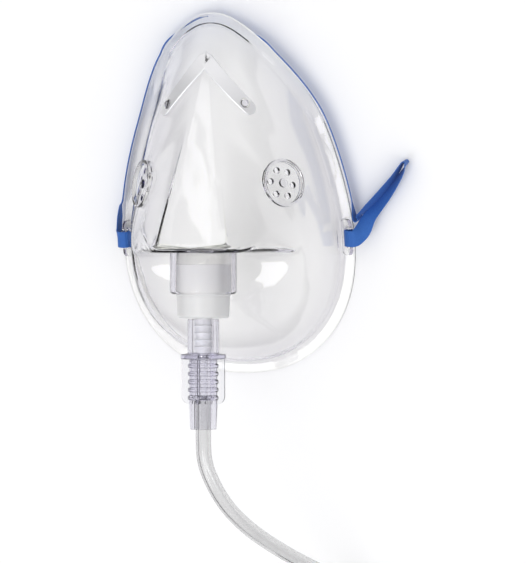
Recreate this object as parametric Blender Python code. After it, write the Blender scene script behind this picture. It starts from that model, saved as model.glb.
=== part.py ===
"""Simple oxygen mask lying on its rim: clear shell with a moulded collar, nose clip, head strap,
inlet adapter, tubing connector and a coiled supply tube. Metres, +Z away from the face, +Y to the nose."""
import math

import bpy
import bmesh
from mathutils import Matrix, Vector
from mathutils.bvhtree import BVHTree

MM = 0.001

# Shell
RIM_HALF_WIDTH = 43.8 * MM
CHIN_Y = -2.2 * MM
NOSE_Y = 131.8 * MM
WIDEST_Y = 45.8 * MM
LIP_WIDTH = 4.5 * MM
WALL = 1.2 * MM
NOSE_ARCH = 17.0 * MM
LIP_LIFT = 0.5
SHOULDER_SHARE = 0.794
RIDGE_SLOPE = 0.4626
RIDGE_HALF_WIDTH = 1.3 * MM
APEX_SETBACK = 14.5 * MM

# Inlet axis in the mask's middle plane, and the collar on it with its margins to the shelf's ends
INLET_TILT = math.radians(10.5)
INLET_HEIGHT = 42.8 * MM
SHELF_SHIFT_Y = 41.8 * MM
COLLAR_RADIUS = 11.8 * MM
COLLAR_BORE = 10.0 * MM
COLLAR_LENGTH = 14.5 * MM
COLLAR_ROOT = 4.0 * MM
PANEL_MARGIN = 2.2 * MM
SHELF_MARGIN = 2.8 * MM

# Vents, posts and strap ears
VENT_INSET = 13.3 * MM
VENT_Y = 72.0 * MM
VENT_RADIUS = 8.6 * MM
VENT_RING_WALL = 1.1 * MM
VENT_RING_HEIGHT = 1.3 * MM
VENT_HOLES = 6
VENT_HOLE_RADIUS = 1.2 * MM
VENT_HOLE_CIRCLE = 4.9 * MM
VENT_BOSS_RADIUS = 1.6 * MM
EAR_LENGTH = 7.0 * MM
EAR_HALF_HEIGHT = 6.5 * MM
EAR_THICK = 1.3 * MM
EAR_Y = 48.5 * MM
EAR_SET_OUT = 0.7 * MM
EAR_RISE_RIGHT = math.radians(50)
EAR_RISE_LEFT = math.radians(74)
EAR_BAR = 1.8 * MM
SLOT_HALF_LENGTH = 3.9 * MM
SLOT_WIDTH = 2.4 * MM

# Nose clip
CLIP_WIDTH = 5.2 * MM
CLIP_THICK = 0.8 * MM
CLIP_GAP = 0.45 * MM
CLIP_REACH_X = 16.5 * MM
CLIP_DROP = 19.3 * MM
CLIP_STEPS = 28
POST_SHARE = 0.82
POST_RADIUS = 1.1 * MM
POST_HEAD_RADIUS = 1.9 * MM

# Inlet adapter and tubing connector, lengths measured down the inlet axis from the shelf
SEAT_GAP = 0.3 * MM
ADAPTER_TOP = 4.0 * MM
ADAPTER_RADIUS = 9.4 * MM
ADAPTER_END = 23.0 * MM
ADAPTER_WALL = 1.5 * MM
NIPPLE_RADIUS = 3.1 * MM
NIPPLE_BORE = 1.6 * MM
NIPPLE_LENGTH = 12.5 * MM
NIPPLE_BARBS = 4
CONNECTOR_RADIUS = 5.6 * MM
CONNECTOR_MOUTH_BORE = 3.9 * MM
CONNECTOR_BARREL = 12.0 * MM
CONNECTOR_FLANGE_RADIUS = 8.0 * MM
CONNECTOR_FLANGE_THICK = 2.3 * MM
CONNECTOR_SLEEVE = 15.5 * MM
CONNECTOR_TAIL = 9.0 * MM
CONNECTOR_TAIL_RADIUS = 4.6 * MM
CONNECTOR_RIB = 0.5 * MM
CONNECTOR_RIBS = 5
FIN_THICK = 1.0 * MM
FIN_CORNER = 2.6 * MM

# Supply tube, its coil and its plug
TUBE_DIAMETER = 5.4 * MM
TUBE_WALL = 0.95 * MM
TUBE_LENGTH = 2.1
TUBE_SEAT = 11.0 * MM
COIL_TURNS_WIDE = 5
COIL_LAYERS = 2
COIL_LEAD = 5.2 * MM
TURN_PITCH = TUBE_DIAMETER + 0.1 * MM
TAIL_LENGTH = 28.0 * MM
FLOOR_GAP = 0.1 * MM
PLUG_LENGTH = 36.0 * MM
PLUG_SEAT = 6.0 * MM
PLUG_NECK = 10.0 * MM
PLUG_NECK_RADIUS = 4.0 * MM
PLUG_MOUTH_RADIUS = 6.0 * MM
PLUG_MOUTH_WALL = 1.4 * MM
PLUG_RIBS = 4
PLUG_RIB_PITCH = 3.4 * MM

# Head strap: the fold beside the right ear, and how the band leans where it stands on edge
STRAP_WIDTH = 6.0 * MM
STRAP_THICK = 0.8 * MM
STRAP_CLEAR = 1.12 * MM
STRAP_STEP = 3.2 * MM
STRAP_LEAN = (0.31, 0.185, 1.0)
FOLD_SET_OUT = 2.2 * MM
FOLD_LENGTH = 32.0 * MM
FOLD_HEADING = math.radians(53.6)

# Points per stretch of a shell section, steps between two sections, and sides of a turned piece
FLANK_STEPS = 12
PANEL_STEPS = 4
CHIN_STEPS = 24
LOFT_STEPS = 2
SEGMENTS = 32

DOME_HALF_WIDTH = RIM_HALF_WIDTH - LIP_WIDTH
VENT_X = DOME_HALF_WIDTH - VENT_INSET
SLOT_X = EAR_LENGTH - EAR_BAR - SLOT_WIDTH / 2
PANEL_HALF_WIDTH = COLLAR_RADIUS + PANEL_MARGIN
SHELF_BASE_Z = INLET_HEIGHT * math.cos(INLET_TILT) - COLLAR_RADIUS - SHELF_MARGIN
RIDGE_TOP_Z = INLET_HEIGHT * math.cos(INLET_TILT) + COLLAR_RADIUS + PANEL_MARGIN
SHELF_SLOPE = math.tan(INLET_TILT)
TIP_Y = SHELF_SHIFT_Y + RIDGE_TOP_Z * SHELF_SLOPE
PANEL_APEX_Y = NOSE_Y - APEX_SETBACK
APEX_Z = RIDGE_TOP_Z - RIDGE_SLOPE * (PANEL_APEX_Y - TIP_Y)
CONNECTOR_TOP = ADAPTER_END + SEAT_GAP
FLANGE_LOW = CONNECTOR_TOP + CONNECTOR_BARREL
FLANGE_HIGH = FLANGE_LOW + CONNECTOR_FLANGE_THICK
SLEEVE_END = FLANGE_HIGH + CONNECTOR_SLEEVE
CONNECTOR_END = SLEEVE_END + CONNECTOR_TAIL


def smooth(t):
    """Smooth step from 0 to 1."""
    t = min(max(t, 0.0), 1.0)
    return t * t * (3 - 2 * t)


def shelf_y(z):
    """The shelf is square to the inlet axis, so it leans back as it rises."""
    return SHELF_SHIFT_Y + z * SHELF_SLOPE


def ridge_z(y):
    """Height of the nose ridge: the panel's slope up to the clip, then a steeper run to the rim."""
    if y < PANEL_APEX_Y:
        return RIDGE_TOP_Z - (RIDGE_TOP_Z - APEX_Z) * (y - TIP_Y) / (PANEL_APEX_Y - TIP_Y)
    return APEX_Z - (APEX_Z - NOSE_ARCH) * (y - PANEL_APEX_Y) / (NOSE_Y - PANEL_APEX_Y)


def panel_half(y):
    """Half-width of the flat front panel, which narrows to the ridge at the clip."""
    share = (PANEL_APEX_Y - y) / (PANEL_APEX_Y - TIP_Y)
    return max(RIDGE_HALF_WIDTH, PANEL_HALF_WIDTH * min(share, 0.97))


def resample(points, count):
    """count + 1 points, evenly spaced along a dense line of points."""
    lengths = [0.0]
    for a, b in zip(points, points[1:]):
        lengths.append(lengths[-1] + math.dist(a, b))
    out, k = [], 0
    for i in range(count + 1):
        want = lengths[-1] * i / count
        while k < len(points) - 2 and lengths[k + 1] < want:
            k += 1
        span = lengths[k + 1] - lengths[k]
        t = (want - lengths[k]) / span if span else 0.0
        out.append(tuple(p + (q - p) * t for p, q in zip(points[k], points[k + 1])))
    return out


def section(z, half_width, chin_y, square, wide_y, nose_y, pear, lift_from):
    """One closed line round the shell. square sharpens the chin side's corners, pear from 0 (straight
    flanks) to 1 (the rim's egg shape), and lift_from is where the line starts to rise to the ridge."""
    top = panel_half(nose_y)
    n, q = 1 + 0.6 * pear, 1 - 0.42 * pear
    dense = [i / 200 for i in range(201)]
    flank = [(top + (half_width - top) * (1 - v ** n) ** q, wide_y + (nose_y - wide_y) * v) for v in dense]
    right = resample(flank, FLANK_STEPS)
    power = 2 / square
    chin = []
    for t in dense:
        c, s = math.cos(math.pi * t), math.sin(math.pi * t)
        x = -half_width * math.copysign(abs(c) ** power, c)
        chin.append((x, wide_y - (wide_y - chin_y) * max(s, 0.0) ** power))
    chin = resample(chin, CHIN_STEPS)
    panel = [(top * (1 - 2 * i / PANEL_STEPS), nose_y) for i in range(1, PANEL_STEPS)]
    left = [(-x, y) for x, y in reversed(right)]
    ring = []
    for x, y in right + panel + left + chin[1:-1]:
        v = (y - wide_y) / (nose_y - wide_y)
        rise = smooth((v - lift_from) / (1 - lift_from))
        ring.append(Vector((x, y, z + (ridge_z(nose_y) - z) * rise)))
    return ring


def key_sections():
    """The shell's sections from the foot of the dome to the nose tip."""
    foot_y = CHIN_Y + LIP_WIDTH
    rings = []
    # height, half-width and chin side as shares of their spans, corner, pear, nose side, lift
    for rise, wide, back, square, pear, nose, lift in (
        (0.08, 1.0, 0.0, 2.2, 1.0, 0.0, LIP_LIFT),
        (0.29, 0.977, 0.05, 2.25, 0.97, 0.055, 0.5),
        (0.545, 0.929, 0.175, 2.4, 0.9, 0.115, 0.4),
        (0.76, 0.87, 0.4, 2.7, 0.8, 0.2, 0.32),
        (0.91, 0.83, 0.7, 3.2, 0.7, 0.29, 0.28),
        (1.0, SHOULDER_SHARE, 0.955, 4.5, 0.6, 0.37, 0.25),
    ):
        z = SHELF_BASE_Z * rise
        base_y = shelf_y(SHELF_BASE_Z)
        chin_y = foot_y + (base_y - foot_y) * back
        wide_y = WIDEST_Y + (base_y + 4 * MM - WIDEST_Y) * back
        start = NOSE_Y - LIP_WIDTH
        rings.append(section(z, DOME_HALF_WIDTH * wide, chin_y, square, wide_y,
                             start + (TIP_Y - start) * nose, pear, lift))
    shoulder = DOME_HALF_WIDTH * SHOULDER_SHARE
    for rise, nose in ((0.12, 0.45), (0.44, 0.636), (0.75, 0.82), (0.93, 0.927)):
        z = SHELF_BASE_Z + (RIDGE_TOP_Z - SHELF_BASE_Z) * rise
        start = NOSE_Y - LIP_WIDTH
        nose_y = start + (TIP_Y - start) * nose
        half = shoulder + (PANEL_HALF_WIDTH - shoulder) * rise
        wide_y = shelf_y(z) + 0.3 * (nose_y - shelf_y(z)) * (1 - rise * 0.5)
        rings.append(section(z, half, shelf_y(z), 8.0, wide_y, nose_y, 0.45 * (1 - rise), 0.2))
    z = RIDGE_TOP_Z - 0.5 * MM
    rings.append(section(z, PANEL_HALF_WIDTH - 1.2 * MM, shelf_y(z) + 1.0 * MM, 6.0,
                         shelf_y(z) + 1.8 * MM, shelf_y(z) + 2.8 * MM, 0.0, 0.2))
    return rings


def loft(rings, steps):
    """Rings between the key sections, on a smooth curve through them."""
    out = []
    for k in range(len(rings) - 1):
        before, a, b = rings[max(k - 1, 0)], rings[k], rings[k + 1]
        after = rings[min(k + 2, len(rings) - 1)]
        for step in range(steps):
            t = step / steps
            ring = []
            for p, q, r, s in zip(before, a, b, after):
                ring.append(0.5 * (2 * q + (r - p) * t + (2 * p - 5 * q + 4 * r - s) * t * t
                                   + (3 * q - p - 3 * r + s) * t ** 3))
            out.append(ring)
    return out + [rings[-1]]


def lip_rings():
    """The flat sealing lip round the dome's foot, from its outer edge inwards."""
    rings = []
    for inset in (0.0, 0.5 * LIP_WIDTH, LIP_WIDTH - 1.0 * MM):
        ring = section(0.0, RIM_HALF_WIDTH - inset, CHIN_Y + inset, 2.2, WIDEST_Y, NOSE_Y - inset, 1.0,
                       LIP_LIFT)
        rings.append([p + Vector((0, 0, WALL)) for p in ring])
    return rings


def new_object(name, bm, finish):
    """Makes a named object from a bmesh, shades it smooth and gives it its material."""
    mesh = bpy.data.meshes.new(name)
    bmesh.ops.recalc_face_normals(bm, faces=bm.faces)
    bm.to_mesh(mesh)
    bm.free()
    mesh.materials.append(finish)
    mesh.shade_smooth()
    mesh.set_sharp_from_angle(angle=math.radians(35))
    obj = bpy.data.objects.new(name, mesh)
    bpy.context.scene.collection.objects.link(obj)
    return obj


def plain_material(name, colour, roughness, alpha=1.0, metallic=0.0):
    made = bpy.data.materials.new(name)
    made.use_nodes = True
    shader = made.node_tree.nodes["Principled BSDF"]
    shader.inputs["Base Color"].default_value = (*colour, 1)
    shader.inputs["Roughness"].default_value = roughness
    shader.inputs["Metallic"].default_value = metallic
    shader.inputs["Alpha"].default_value = alpha
    return made


def skin(bm, rows, cap_last):
    """Quads between closed rows of vertices, with a fan over the last row."""
    count = len(rows[0])
    for low, high in zip(rows, rows[1:]):
        for i in range(count):
            j = (i + 1) % count
            bm.faces.new((low[i], low[j], high[j], high[i]))
    if cap_last:
        middle = sum((v.co for v in rows[-1]), Vector()) / count
        centre = bm.verts.new(middle)
        for i in range(count):
            bm.faces.new((rows[-1][i], rows[-1][(i + 1) % count], centre))


def shell_wall():
    """The dome and its lip as one closed wall: the outer surface, and the same set in by the wall."""
    rings = lip_rings() + loft(key_sections(), LOFT_STEPS)
    bm = bmesh.new()
    rows = [[bm.verts.new(p) for p in ring] for ring in rings]
    skin(bm, rows, True)
    bmesh.ops.recalc_face_normals(bm, faces=bm.faces)
    bm.normal_update()
    outside = BVHTree.FromBMesh(bm)
    lip = set(v for row in rows[:3] for v in row)
    pairs = {}
    for v in list(bm.verts):
        step = Vector((0, 0, WALL)) if v in lip else v.normal * WALL
        pairs[v] = bm.verts.new(v.co - step)
    for face in list(bm.faces):
        bm.faces.new([pairs[v] for v in reversed(face.verts)])
    for i, v in enumerate(rows[0]):
        w = rows[0][(i + 1) % len(rows[0])]
        bm.faces.new((w, v, pairs[v], pairs[w]))
    return bm, outside


def frame_at(point, direction, across=Vector((1, 0, 0))):
    """Matrix whose Z runs along direction at point, with X as near to across as it can be."""
    z = direction.normalized()
    x = (across - z * across.dot(z)).normalized()
    y = z.cross(x)
    m = Matrix((x, y, z)).transposed().to_4x4()
    m.translation = point
    return m


INLET_DIRECTION = Vector((0, -math.cos(INLET_TILT), math.sin(INLET_TILT)))
INLET_ORIGIN = Vector((0, SHELF_SHIFT_Y + INLET_HEIGHT * math.sin(INLET_TILT),
                       INLET_HEIGHT * math.cos(INLET_TILT)))
INLET = frame_at(INLET_ORIGIN, INLET_DIRECTION)


def turned(profile, matrix, segments=SEGMENTS):
    """A closed profile of (radius, length) points turned about the matrix's Z."""
    bm = bmesh.new()
    rows = []
    for k in range(segments):
        a = 2 * math.pi * k / segments
        around = Vector((math.cos(a), math.sin(a), 0))
        rows.append([bm.verts.new(matrix @ (around * r + Vector((0, 0, l)))) for r, l in profile])
    for k in range(segments):
        here, there = rows[k], rows[(k + 1) % segments]
        for i in range(len(profile)):
            j = (i + 1) % len(profile)
            bm.faces.new((here[i], there[i], there[j], here[j]))
    bmesh.ops.remove_doubles(bm, verts=bm.verts, dist=1e-7)
    return bm


def rod(radius, low, high, matrix, segments=SEGMENTS):
    """A solid cylinder from low to high along the matrix's Z."""
    bm = bmesh.new()
    shift = matrix @ Matrix.Translation((0, 0, (low + high) / 2))
    bmesh.ops.create_cone(bm, cap_ends=True, segments=segments, radius1=radius, radius2=radius,
                          depth=high - low, matrix=shift)
    return bm


def cut_or_join(target, bm, operation):
    """Adds or cuts one bmesh on an object, with its result applied."""
    tool = new_object("tool", bm, target.data.materials[0])
    modifier = target.modifiers.new("tool", "BOOLEAN")
    modifier.operation = operation
    modifier.object = tool
    bpy.context.view_layer.update()
    done = bpy.data.meshes.new_from_object(target.evaluated_get(bpy.context.evaluated_depsgraph_get()))
    target.modifiers.remove(modifier)
    target.data = done
    bpy.data.objects.remove(tool)


def surface_frame(outside, x, y):
    """The shell's outer surface under (x, y), as a frame with Z out of the shell."""
    point, normal, _, _ = outside.ray_cast(Vector((x, y, 0.2)), Vector((0, 0, -1)))
    if normal.z < 0:
        normal = -normal
    return frame_at(point, normal, Vector((0, 1, 0)))


def vent_tools(outside, side):
    """The raised ring and centre boss of a vent, and the cutters of its breathing holes."""
    at = surface_frame(outside, side * VENT_X, VENT_Y)
    within = VENT_RADIUS - VENT_RING_WALL
    ring = turned([(VENT_RADIUS, -0.7 * MM), (VENT_RADIUS, VENT_RING_HEIGHT), (within, VENT_RING_HEIGHT),
                   (within, -0.7 * MM)], at)
    boss = rod(VENT_BOSS_RADIUS, -0.6 * MM, 0.9 * MM, at, 16)
    holes = []
    for k in range(VENT_HOLES):
        a = 2 * math.pi * (k + 0.25) / VENT_HOLES
        place = at @ Matrix.Translation((VENT_HOLE_CIRCLE * math.cos(a), VENT_HOLE_CIRCLE * math.sin(a), 0))
        holes.append(rod(VENT_HOLE_RADIUS, -4 * MM, 3 * MM, place, 12))
    return [ring, boss], holes


def ear_frame(side):
    """The soft strap ear rises outwards from the lip, beside the dome's foot. X runs out along it, Z leaves
    its upper face."""
    rise = EAR_RISE_RIGHT if side > 0 else EAR_RISE_LEFT
    out = Vector((side * math.cos(rise), 0, math.sin(rise)))
    root = Vector((side * (DOME_HALF_WIDTH + EAR_SET_OUT), EAR_Y, WALL * 0.4))
    up = Vector((-side * math.sin(rise), 0, math.cos(rise)))
    return frame_at(root, up, out)


def slab(outline, low, high, matrix):
    """A flat outline in the matrix's XY, drawn out along its Z."""
    bm = bmesh.new()
    bottom = [bm.verts.new(matrix @ Vector((x, y, low))) for x, y in outline]
    top = [bm.verts.new(matrix @ Vector((x, y, high))) for x, y in outline]
    bm.faces.new(bottom)
    bm.faces.new(list(reversed(top)))
    for i in range(len(outline)):
        j = (i + 1) % len(outline)
        bm.faces.new((bottom[i], bottom[j], top[j], top[i]))
    return bm


def rounded_outline(x0, x1, half, radius, steps=4):
    """A rectangle from x0 to x1 and half each way in Y, with rounded corners."""
    points = []
    for cx, cy, start in ((x1 - radius, half - radius, 0), (x0 + radius, half - radius, 90),
                          (x0 + radius, -half + radius, 180), (x1 - radius, -half + radius, 270)):
        for k in range(steps + 1):
            a = math.radians(start + 90 * k / steps)
            points.append((cx + radius * math.cos(a), cy + radius * math.sin(a)))
    return points


def clip_point(outside, share):
    """A point of the clip's middle line, share from -1 to 1, with the shell's normal there."""
    x = share * CLIP_REACH_X
    y = PANEL_APEX_Y - 1.0 * MM - CLIP_DROP * abs(share)
    return surface_frame(outside, x, y)


def make_shell(finish):
    bm, outside = shell_wall()
    shell = new_object("mask_shell", bm, finish)
    collar = turned([(COLLAR_RADIUS, -WALL / 2), (COLLAR_RADIUS, COLLAR_LENGTH - 0.8 * MM),
                     (COLLAR_RADIUS - 0.8 * MM, COLLAR_LENGTH), (COLLAR_BORE, COLLAR_LENGTH),
                     (COLLAR_BORE, -WALL / 2)], INLET)
    cut_or_join(shell, collar, "UNION")
    cut_or_join(shell, rod(COLLAR_BORE, -COLLAR_ROOT, COLLAR_LENGTH + 1 * MM, INLET), "DIFFERENCE")
    for side in (-1, 1):
        ear = slab(rounded_outline(0, EAR_LENGTH, EAR_HALF_HEIGHT, 2.4 * MM), 0, EAR_THICK, ear_frame(side))
        cut_or_join(shell, ear, "UNION")
        low, high = SLOT_X - SLOT_WIDTH / 2, SLOT_X + SLOT_WIDTH / 2
        slot = rounded_outline(low, high, SLOT_HALF_LENGTH, 0.8 * MM, 2)
        slot = slab(slot, -2 * MM, EAR_THICK + 3 * MM, ear_frame(side))
        cut_or_join(shell, slot, "DIFFERENCE")
        solids, holes = vent_tools(outside, side)
        for solid in solids:
            cut_or_join(shell, solid, "UNION")
        for hole in holes:
            cut_or_join(shell, hole, "DIFFERENCE")
        post = clip_point(outside, side * POST_SHARE)
        neck_top = CLIP_GAP + CLIP_THICK + SEAT_GAP
        pin = turned([(0, -WALL / 2), (POST_RADIUS, -WALL / 2), (POST_RADIUS, neck_top),
                      (POST_HEAD_RADIUS, neck_top), (POST_HEAD_RADIUS * 0.8, neck_top + 0.7 * MM),
                      (0, neck_top + 0.8 * MM)], post, 16)
        cut_or_join(shell, pin, "UNION")
    return outside


def make_clip(outside, finish):
    """A strip of soft aluminium bent over the ridge, with a hole near each end for the shell's posts."""
    bm = bmesh.new()
    rows = []
    frames = [clip_point(outside, -1 + 2 * k / CLIP_STEPS) for k in range(CLIP_STEPS + 1)]
    for k, at in enumerate(frames):
        ahead = frames[min(k + 1, CLIP_STEPS)].translation - frames[max(k - 1, 0)].translation
        across = at.to_3x3().col[2].cross(ahead).normalized()
        normal = ahead.cross(across).normalized()
        low, high = CLIP_GAP * normal, (CLIP_GAP + CLIP_THICK) * normal
        corners = [at.translation + across * w * CLIP_WIDTH / 2 + lift
                   for w, lift in ((-1, low), (1, low), (1, high), (-1, high))]
        rows.append([bm.verts.new(c) for c in corners])
    for a, b in zip(rows, rows[1:]):
        for i in range(4):
            j = (i + 1) % 4
            bm.faces.new((a[i], a[j], b[j], b[i]))
    bm.faces.new(rows[0])
    bm.faces.new(list(reversed(rows[-1])))
    clip = new_object("nose_clip", bm, finish)
    for side in (-1, 1):
        hole = rod(POST_RADIUS + SEAT_GAP, -2 * MM, 4 * MM, clip_point(outside, side * POST_SHARE), 16)
        cut_or_join(clip, hole, "DIFFERENCE")
    return clip


def make_adapter(finish):
    """The white cup pressed into the collar, with its stepped nipple that carries the tubing connector."""
    inner = ADAPTER_RADIUS - ADAPTER_WALL
    seat = COLLAR_BORE - SEAT_GAP
    nipple_end = ADAPTER_END + NIPPLE_LENGTH
    profile = [(seat - 1.5 * MM, ADAPTER_TOP), (seat, ADAPTER_TOP), (seat, COLLAR_LENGTH + SEAT_GAP),
               (ADAPTER_RADIUS, COLLAR_LENGTH + 0.6 * MM),
               (ADAPTER_RADIUS - 0.2 * MM, ADAPTER_END - 0.6 * MM), (ADAPTER_RADIUS - 0.8 * MM, ADAPTER_END),
               (NIPPLE_RADIUS, ADAPTER_END)]
    pitch = NIPPLE_LENGTH / (NIPPLE_BARBS + 1)
    for k in range(1, NIPPLE_BARBS + 1):
        root = ADAPTER_END + pitch * k
        profile += [(NIPPLE_RADIUS - 0.3 * MM, root - 0.2 * MM), (NIPPLE_RADIUS + 0.35 * MM, root),
                    (NIPPLE_RADIUS - 0.3 * MM, root + 0.8 * MM)]
    profile += [(NIPPLE_RADIUS - 0.5 * MM, nipple_end), (NIPPLE_BORE, nipple_end),
                (NIPPLE_BORE, ADAPTER_END - ADAPTER_WALL), (inner, ADAPTER_END - ADAPTER_WALL - 1 * MM)]
    return new_object("inlet_adapter", turned(profile, INLET), finish)


def make_connector(finish):
    """The soft tubing connector: smooth barrel, flange, ringed grip with four fins and a plain tail."""
    tube_bore = TUBE_DIAMETER / 2 + SEAT_GAP
    base = CONNECTOR_RADIUS - 0.6 * MM
    bore = TUBE_DIAMETER / 2 - TUBE_WALL
    profile = [(CONNECTOR_MOUTH_BORE, CONNECTOR_TOP), (CONNECTOR_RADIUS, CONNECTOR_TOP),
               (CONNECTOR_RADIUS, FLANGE_LOW), (CONNECTOR_FLANGE_RADIUS, FLANGE_LOW + 0.3 * MM),
               (CONNECTOR_FLANGE_RADIUS, FLANGE_HIGH - 0.3 * MM), (base, FLANGE_HIGH)]
    pitch = CONNECTOR_SLEEVE / (CONNECTOR_RIBS + 0.5)
    for k in range(CONNECTOR_RIBS):
        middle = FLANGE_HIGH + pitch * (k + 0.75)
        profile += [(base, middle - 0.9 * MM), (base + CONNECTOR_RIB, middle - 0.4 * MM),
                    (base + CONNECTOR_RIB, middle + 0.4 * MM), (base, middle + 0.9 * MM)]
    profile += [(base, SLEEVE_END), (CONNECTOR_TAIL_RADIUS, CONNECTOR_END),
                (tube_bore, CONNECTOR_END), (tube_bore, CONNECTOR_END - TUBE_SEAT),
                (bore, CONNECTOR_END - TUBE_SEAT - 0.2 * MM),
                (bore, ADAPTER_END + NIPPLE_LENGTH + 1.2 * MM),
                (CONNECTOR_MOUTH_BORE, ADAPTER_END + NIPPLE_LENGTH + 0.6 * MM)]
    connector = new_object("tubing_connector", turned(profile, INLET), finish)
    for k in range(4):
        turn = INLET @ Matrix.Rotation(math.pi / 2 * k, 4, "Z") @ Matrix.Rotation(math.pi / 2, 4, "X")
        inner, outer = CONNECTOR_RADIUS - 1.4 * MM, CONNECTOR_FLANGE_RADIUS - 0.1 * MM
        outline = [(inner, FLANGE_HIGH - 0.5 * MM), (outer, FLANGE_HIGH - 0.5 * MM)]
        for s in range(5):
            a = math.radians(90 * s / 4)
            outline.append((outer - FIN_CORNER + FIN_CORNER * math.cos(a),
                            SLEEVE_END - FIN_CORNER + FIN_CORNER * math.sin(a)))
        outline.append((inner, SLEEVE_END))
        cut_or_join(connector, slab(outline, -FIN_THICK / 2, FIN_THICK / 2, turn), "UNION")
    return connector


# The tube's route past its exit: a drop to the floor, then along it to the coil
TUBE_ROUTE_MM = [
    (0.3, -21.8, 54.9), (2.6, -30.6, 54.2), (6.6, -40.2, 50.8), (11.9, -49.6, 43.8), (18.5, -59.0, 33.6),
    (26.2, -68.0, 22.4), (35.0, -75.8, 12.6), (45.5, -82.9, 6.2), (57.0, -89.6, 3.4), (68.0, -97.2, 2.85),
    (78.9, -106.6, 2.8), (85.4, -118.6, 2.8), (88.0, -131.0, 2.8),
]


def smooth_line(points, step):
    """Points about one step apart on a smooth curve through the given points."""
    dense = []
    for k in range(len(points) - 1):
        before, a = points[max(k - 1, 0)], points[k]
        b, after = points[k + 1], points[min(k + 2, len(points) - 1)]
        for i in range(20):
            t = i / 20
            dense.append(0.5 * (2 * a + (b - before) * t + (2 * before - 5 * a + 4 * b - after) * t * t
                                + (3 * a - before - 3 * b + after) * t ** 3))
    dense.append(points[-1])
    length = sum((q - p).length for p, q in zip(dense, dense[1:]))
    return [Vector(p) for p in resample([tuple(p) for p in dense], max(2, round(length / step)))]


def tube_object(name, points, finish):
    """A round tube along a line of points, with flat ends."""
    curve = bpy.data.curves.new(name, "CURVE")
    curve.dimensions = "3D"
    curve.bevel_depth = TUBE_DIAMETER / 2
    curve.bevel_resolution = 3
    curve.use_fill_caps = True
    spline = curve.splines.new("POLY")
    spline.points.add(len(points) - 1)
    for target, p in zip(spline.points, points):
        target.co = (*p, 1)
    curve.materials.append(finish)
    obj = bpy.data.objects.new(name, curve)
    bpy.context.scene.collection.objects.link(obj)
    return obj


def make_tube(finish, plug_finish):
    """The supply tube: its run to the floor, its coil, and the tail with the plug for the gas supply."""
    starts = (CONNECTOR_END - TUBE_SEAT + SEAT_GAP, CONNECTOR_END - 0.4 * TUBE_SEAT, CONNECTOR_END)
    seat = [INLET @ Vector((0, 0, along)) for along in starts]
    route = smooth_line(seat + [Vector(p) * MM for p in TUBE_ROUTE_MM], 2.2 * TUBE_DIAMETER)
    tube_object("supply_tube", route, finish)
    run = sum((b - a).length for a, b in zip(route, route[1:]))
    turn_radius = (TUBE_LENGTH - run - TAIL_LENGTH) / (2 * math.pi * COIL_TURNS_WIDE * COIL_LAYERS)
    half_width = TURN_PITCH * (COIL_TURNS_WIDE - 1) / 2 + TUBE_DIAMETER / 2
    inner, outer = turn_radius - half_width, turn_radius + half_width
    height = TUBE_DIAMETER + TURN_PITCH * (COIL_LAYERS - 1)
    beside = outer + TUBE_DIAMETER / 2 + SEAT_GAP
    centre = Vector((route[-1].x - beside, route[-1].y - COIL_LEAD, 0))
    ring = turned([(inner, FLOOR_GAP), (outer, FLOOR_GAP), (outer, height), (inner, height)],
                  Matrix.Translation(centre), 40)
    new_object("supply_tube_coil", ring, finish)
    top = TUBE_DIAMETER / 2 + TURN_PITCH * (COIL_LAYERS - 1) + FLOOR_GAP
    tail = []
    for k in range(8):
        share = k / 7
        drop = (top - PLUG_MOUTH_RADIUS - FLOOR_GAP) * smooth(share * 2)
        aside = beside + 1.5 * MM * smooth(share * 2)
        tail.append(centre + Vector((aside, -TAIL_LENGTH * share - 2 * MM, top - drop)))
    tube_object("supply_tube_tail", smooth_line(tail, 2.2 * TUBE_DIAMETER), finish)
    make_plug(tail[-1], plug_finish)


def make_plug(tube_end, finish):
    """The soft ribbed plug on the tube's end, whose flared mouth takes the gas supply's barb."""
    heading = Vector((0, -1, 0))
    at = frame_at(tube_end - heading * (PLUG_SEAT - 2 * SEAT_GAP), heading, Vector((0, 0, 1)))
    seat_bore = TUBE_DIAMETER / 2 + SEAT_GAP
    bore = TUBE_DIAMETER / 2 - TUBE_WALL
    root = PLUG_MOUTH_RADIUS - 0.8 * MM
    crest = root + CONNECTOR_RIB
    profile = [(seat_bore, 0), (PLUG_NECK_RADIUS, 0), (PLUG_NECK_RADIUS, PLUG_NECK),
               (root, PLUG_NECK + 4 * MM)]
    for k in range(PLUG_RIBS):
        low = PLUG_NECK + 5 * MM + PLUG_RIB_PITCH * k
        profile += [(root, low), (crest, low + 0.5 * MM), (crest, low + 1.5 * MM), (root, low + 2.0 * MM)]
    profile += [(root, PLUG_LENGTH - 5 * MM), (PLUG_MOUTH_RADIUS, PLUG_LENGTH - 3 * MM),
                (PLUG_MOUTH_RADIUS, PLUG_LENGTH), (PLUG_MOUTH_RADIUS - PLUG_MOUTH_WALL, PLUG_LENGTH),
                (bore + 1.0 * MM, PLUG_LENGTH - 16 * MM), (bore, PLUG_SEAT + 3 * MM),
                (bore, PLUG_SEAT + SEAT_GAP), (seat_bore, PLUG_SEAT)]
    new_object("supply_plug", turned(profile, at, 24), finish)


def ear_point(side, out, up):
    """A point in the ear's own frame, out along it and up from its lower face, in strap widths."""
    return ear_frame(side) @ Vector((out * STRAP_WIDTH, 0, up * STRAP_WIDTH))


def lip_edge(y):
    """The lip's outer edge at height y of the mask, on its right side."""
    v = (y - WIDEST_Y) / (NOSE_Y - WIDEST_Y)
    x = RIDGE_HALF_WIDTH + (RIM_HALF_WIDTH - RIDGE_HALF_WIDTH) * (1 - v ** 1.6) ** 0.58
    return Vector((x, y, WALL / 2 + NOSE_ARCH * smooth((v - LIP_LIFT) / (1 - LIP_LIFT))))


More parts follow.
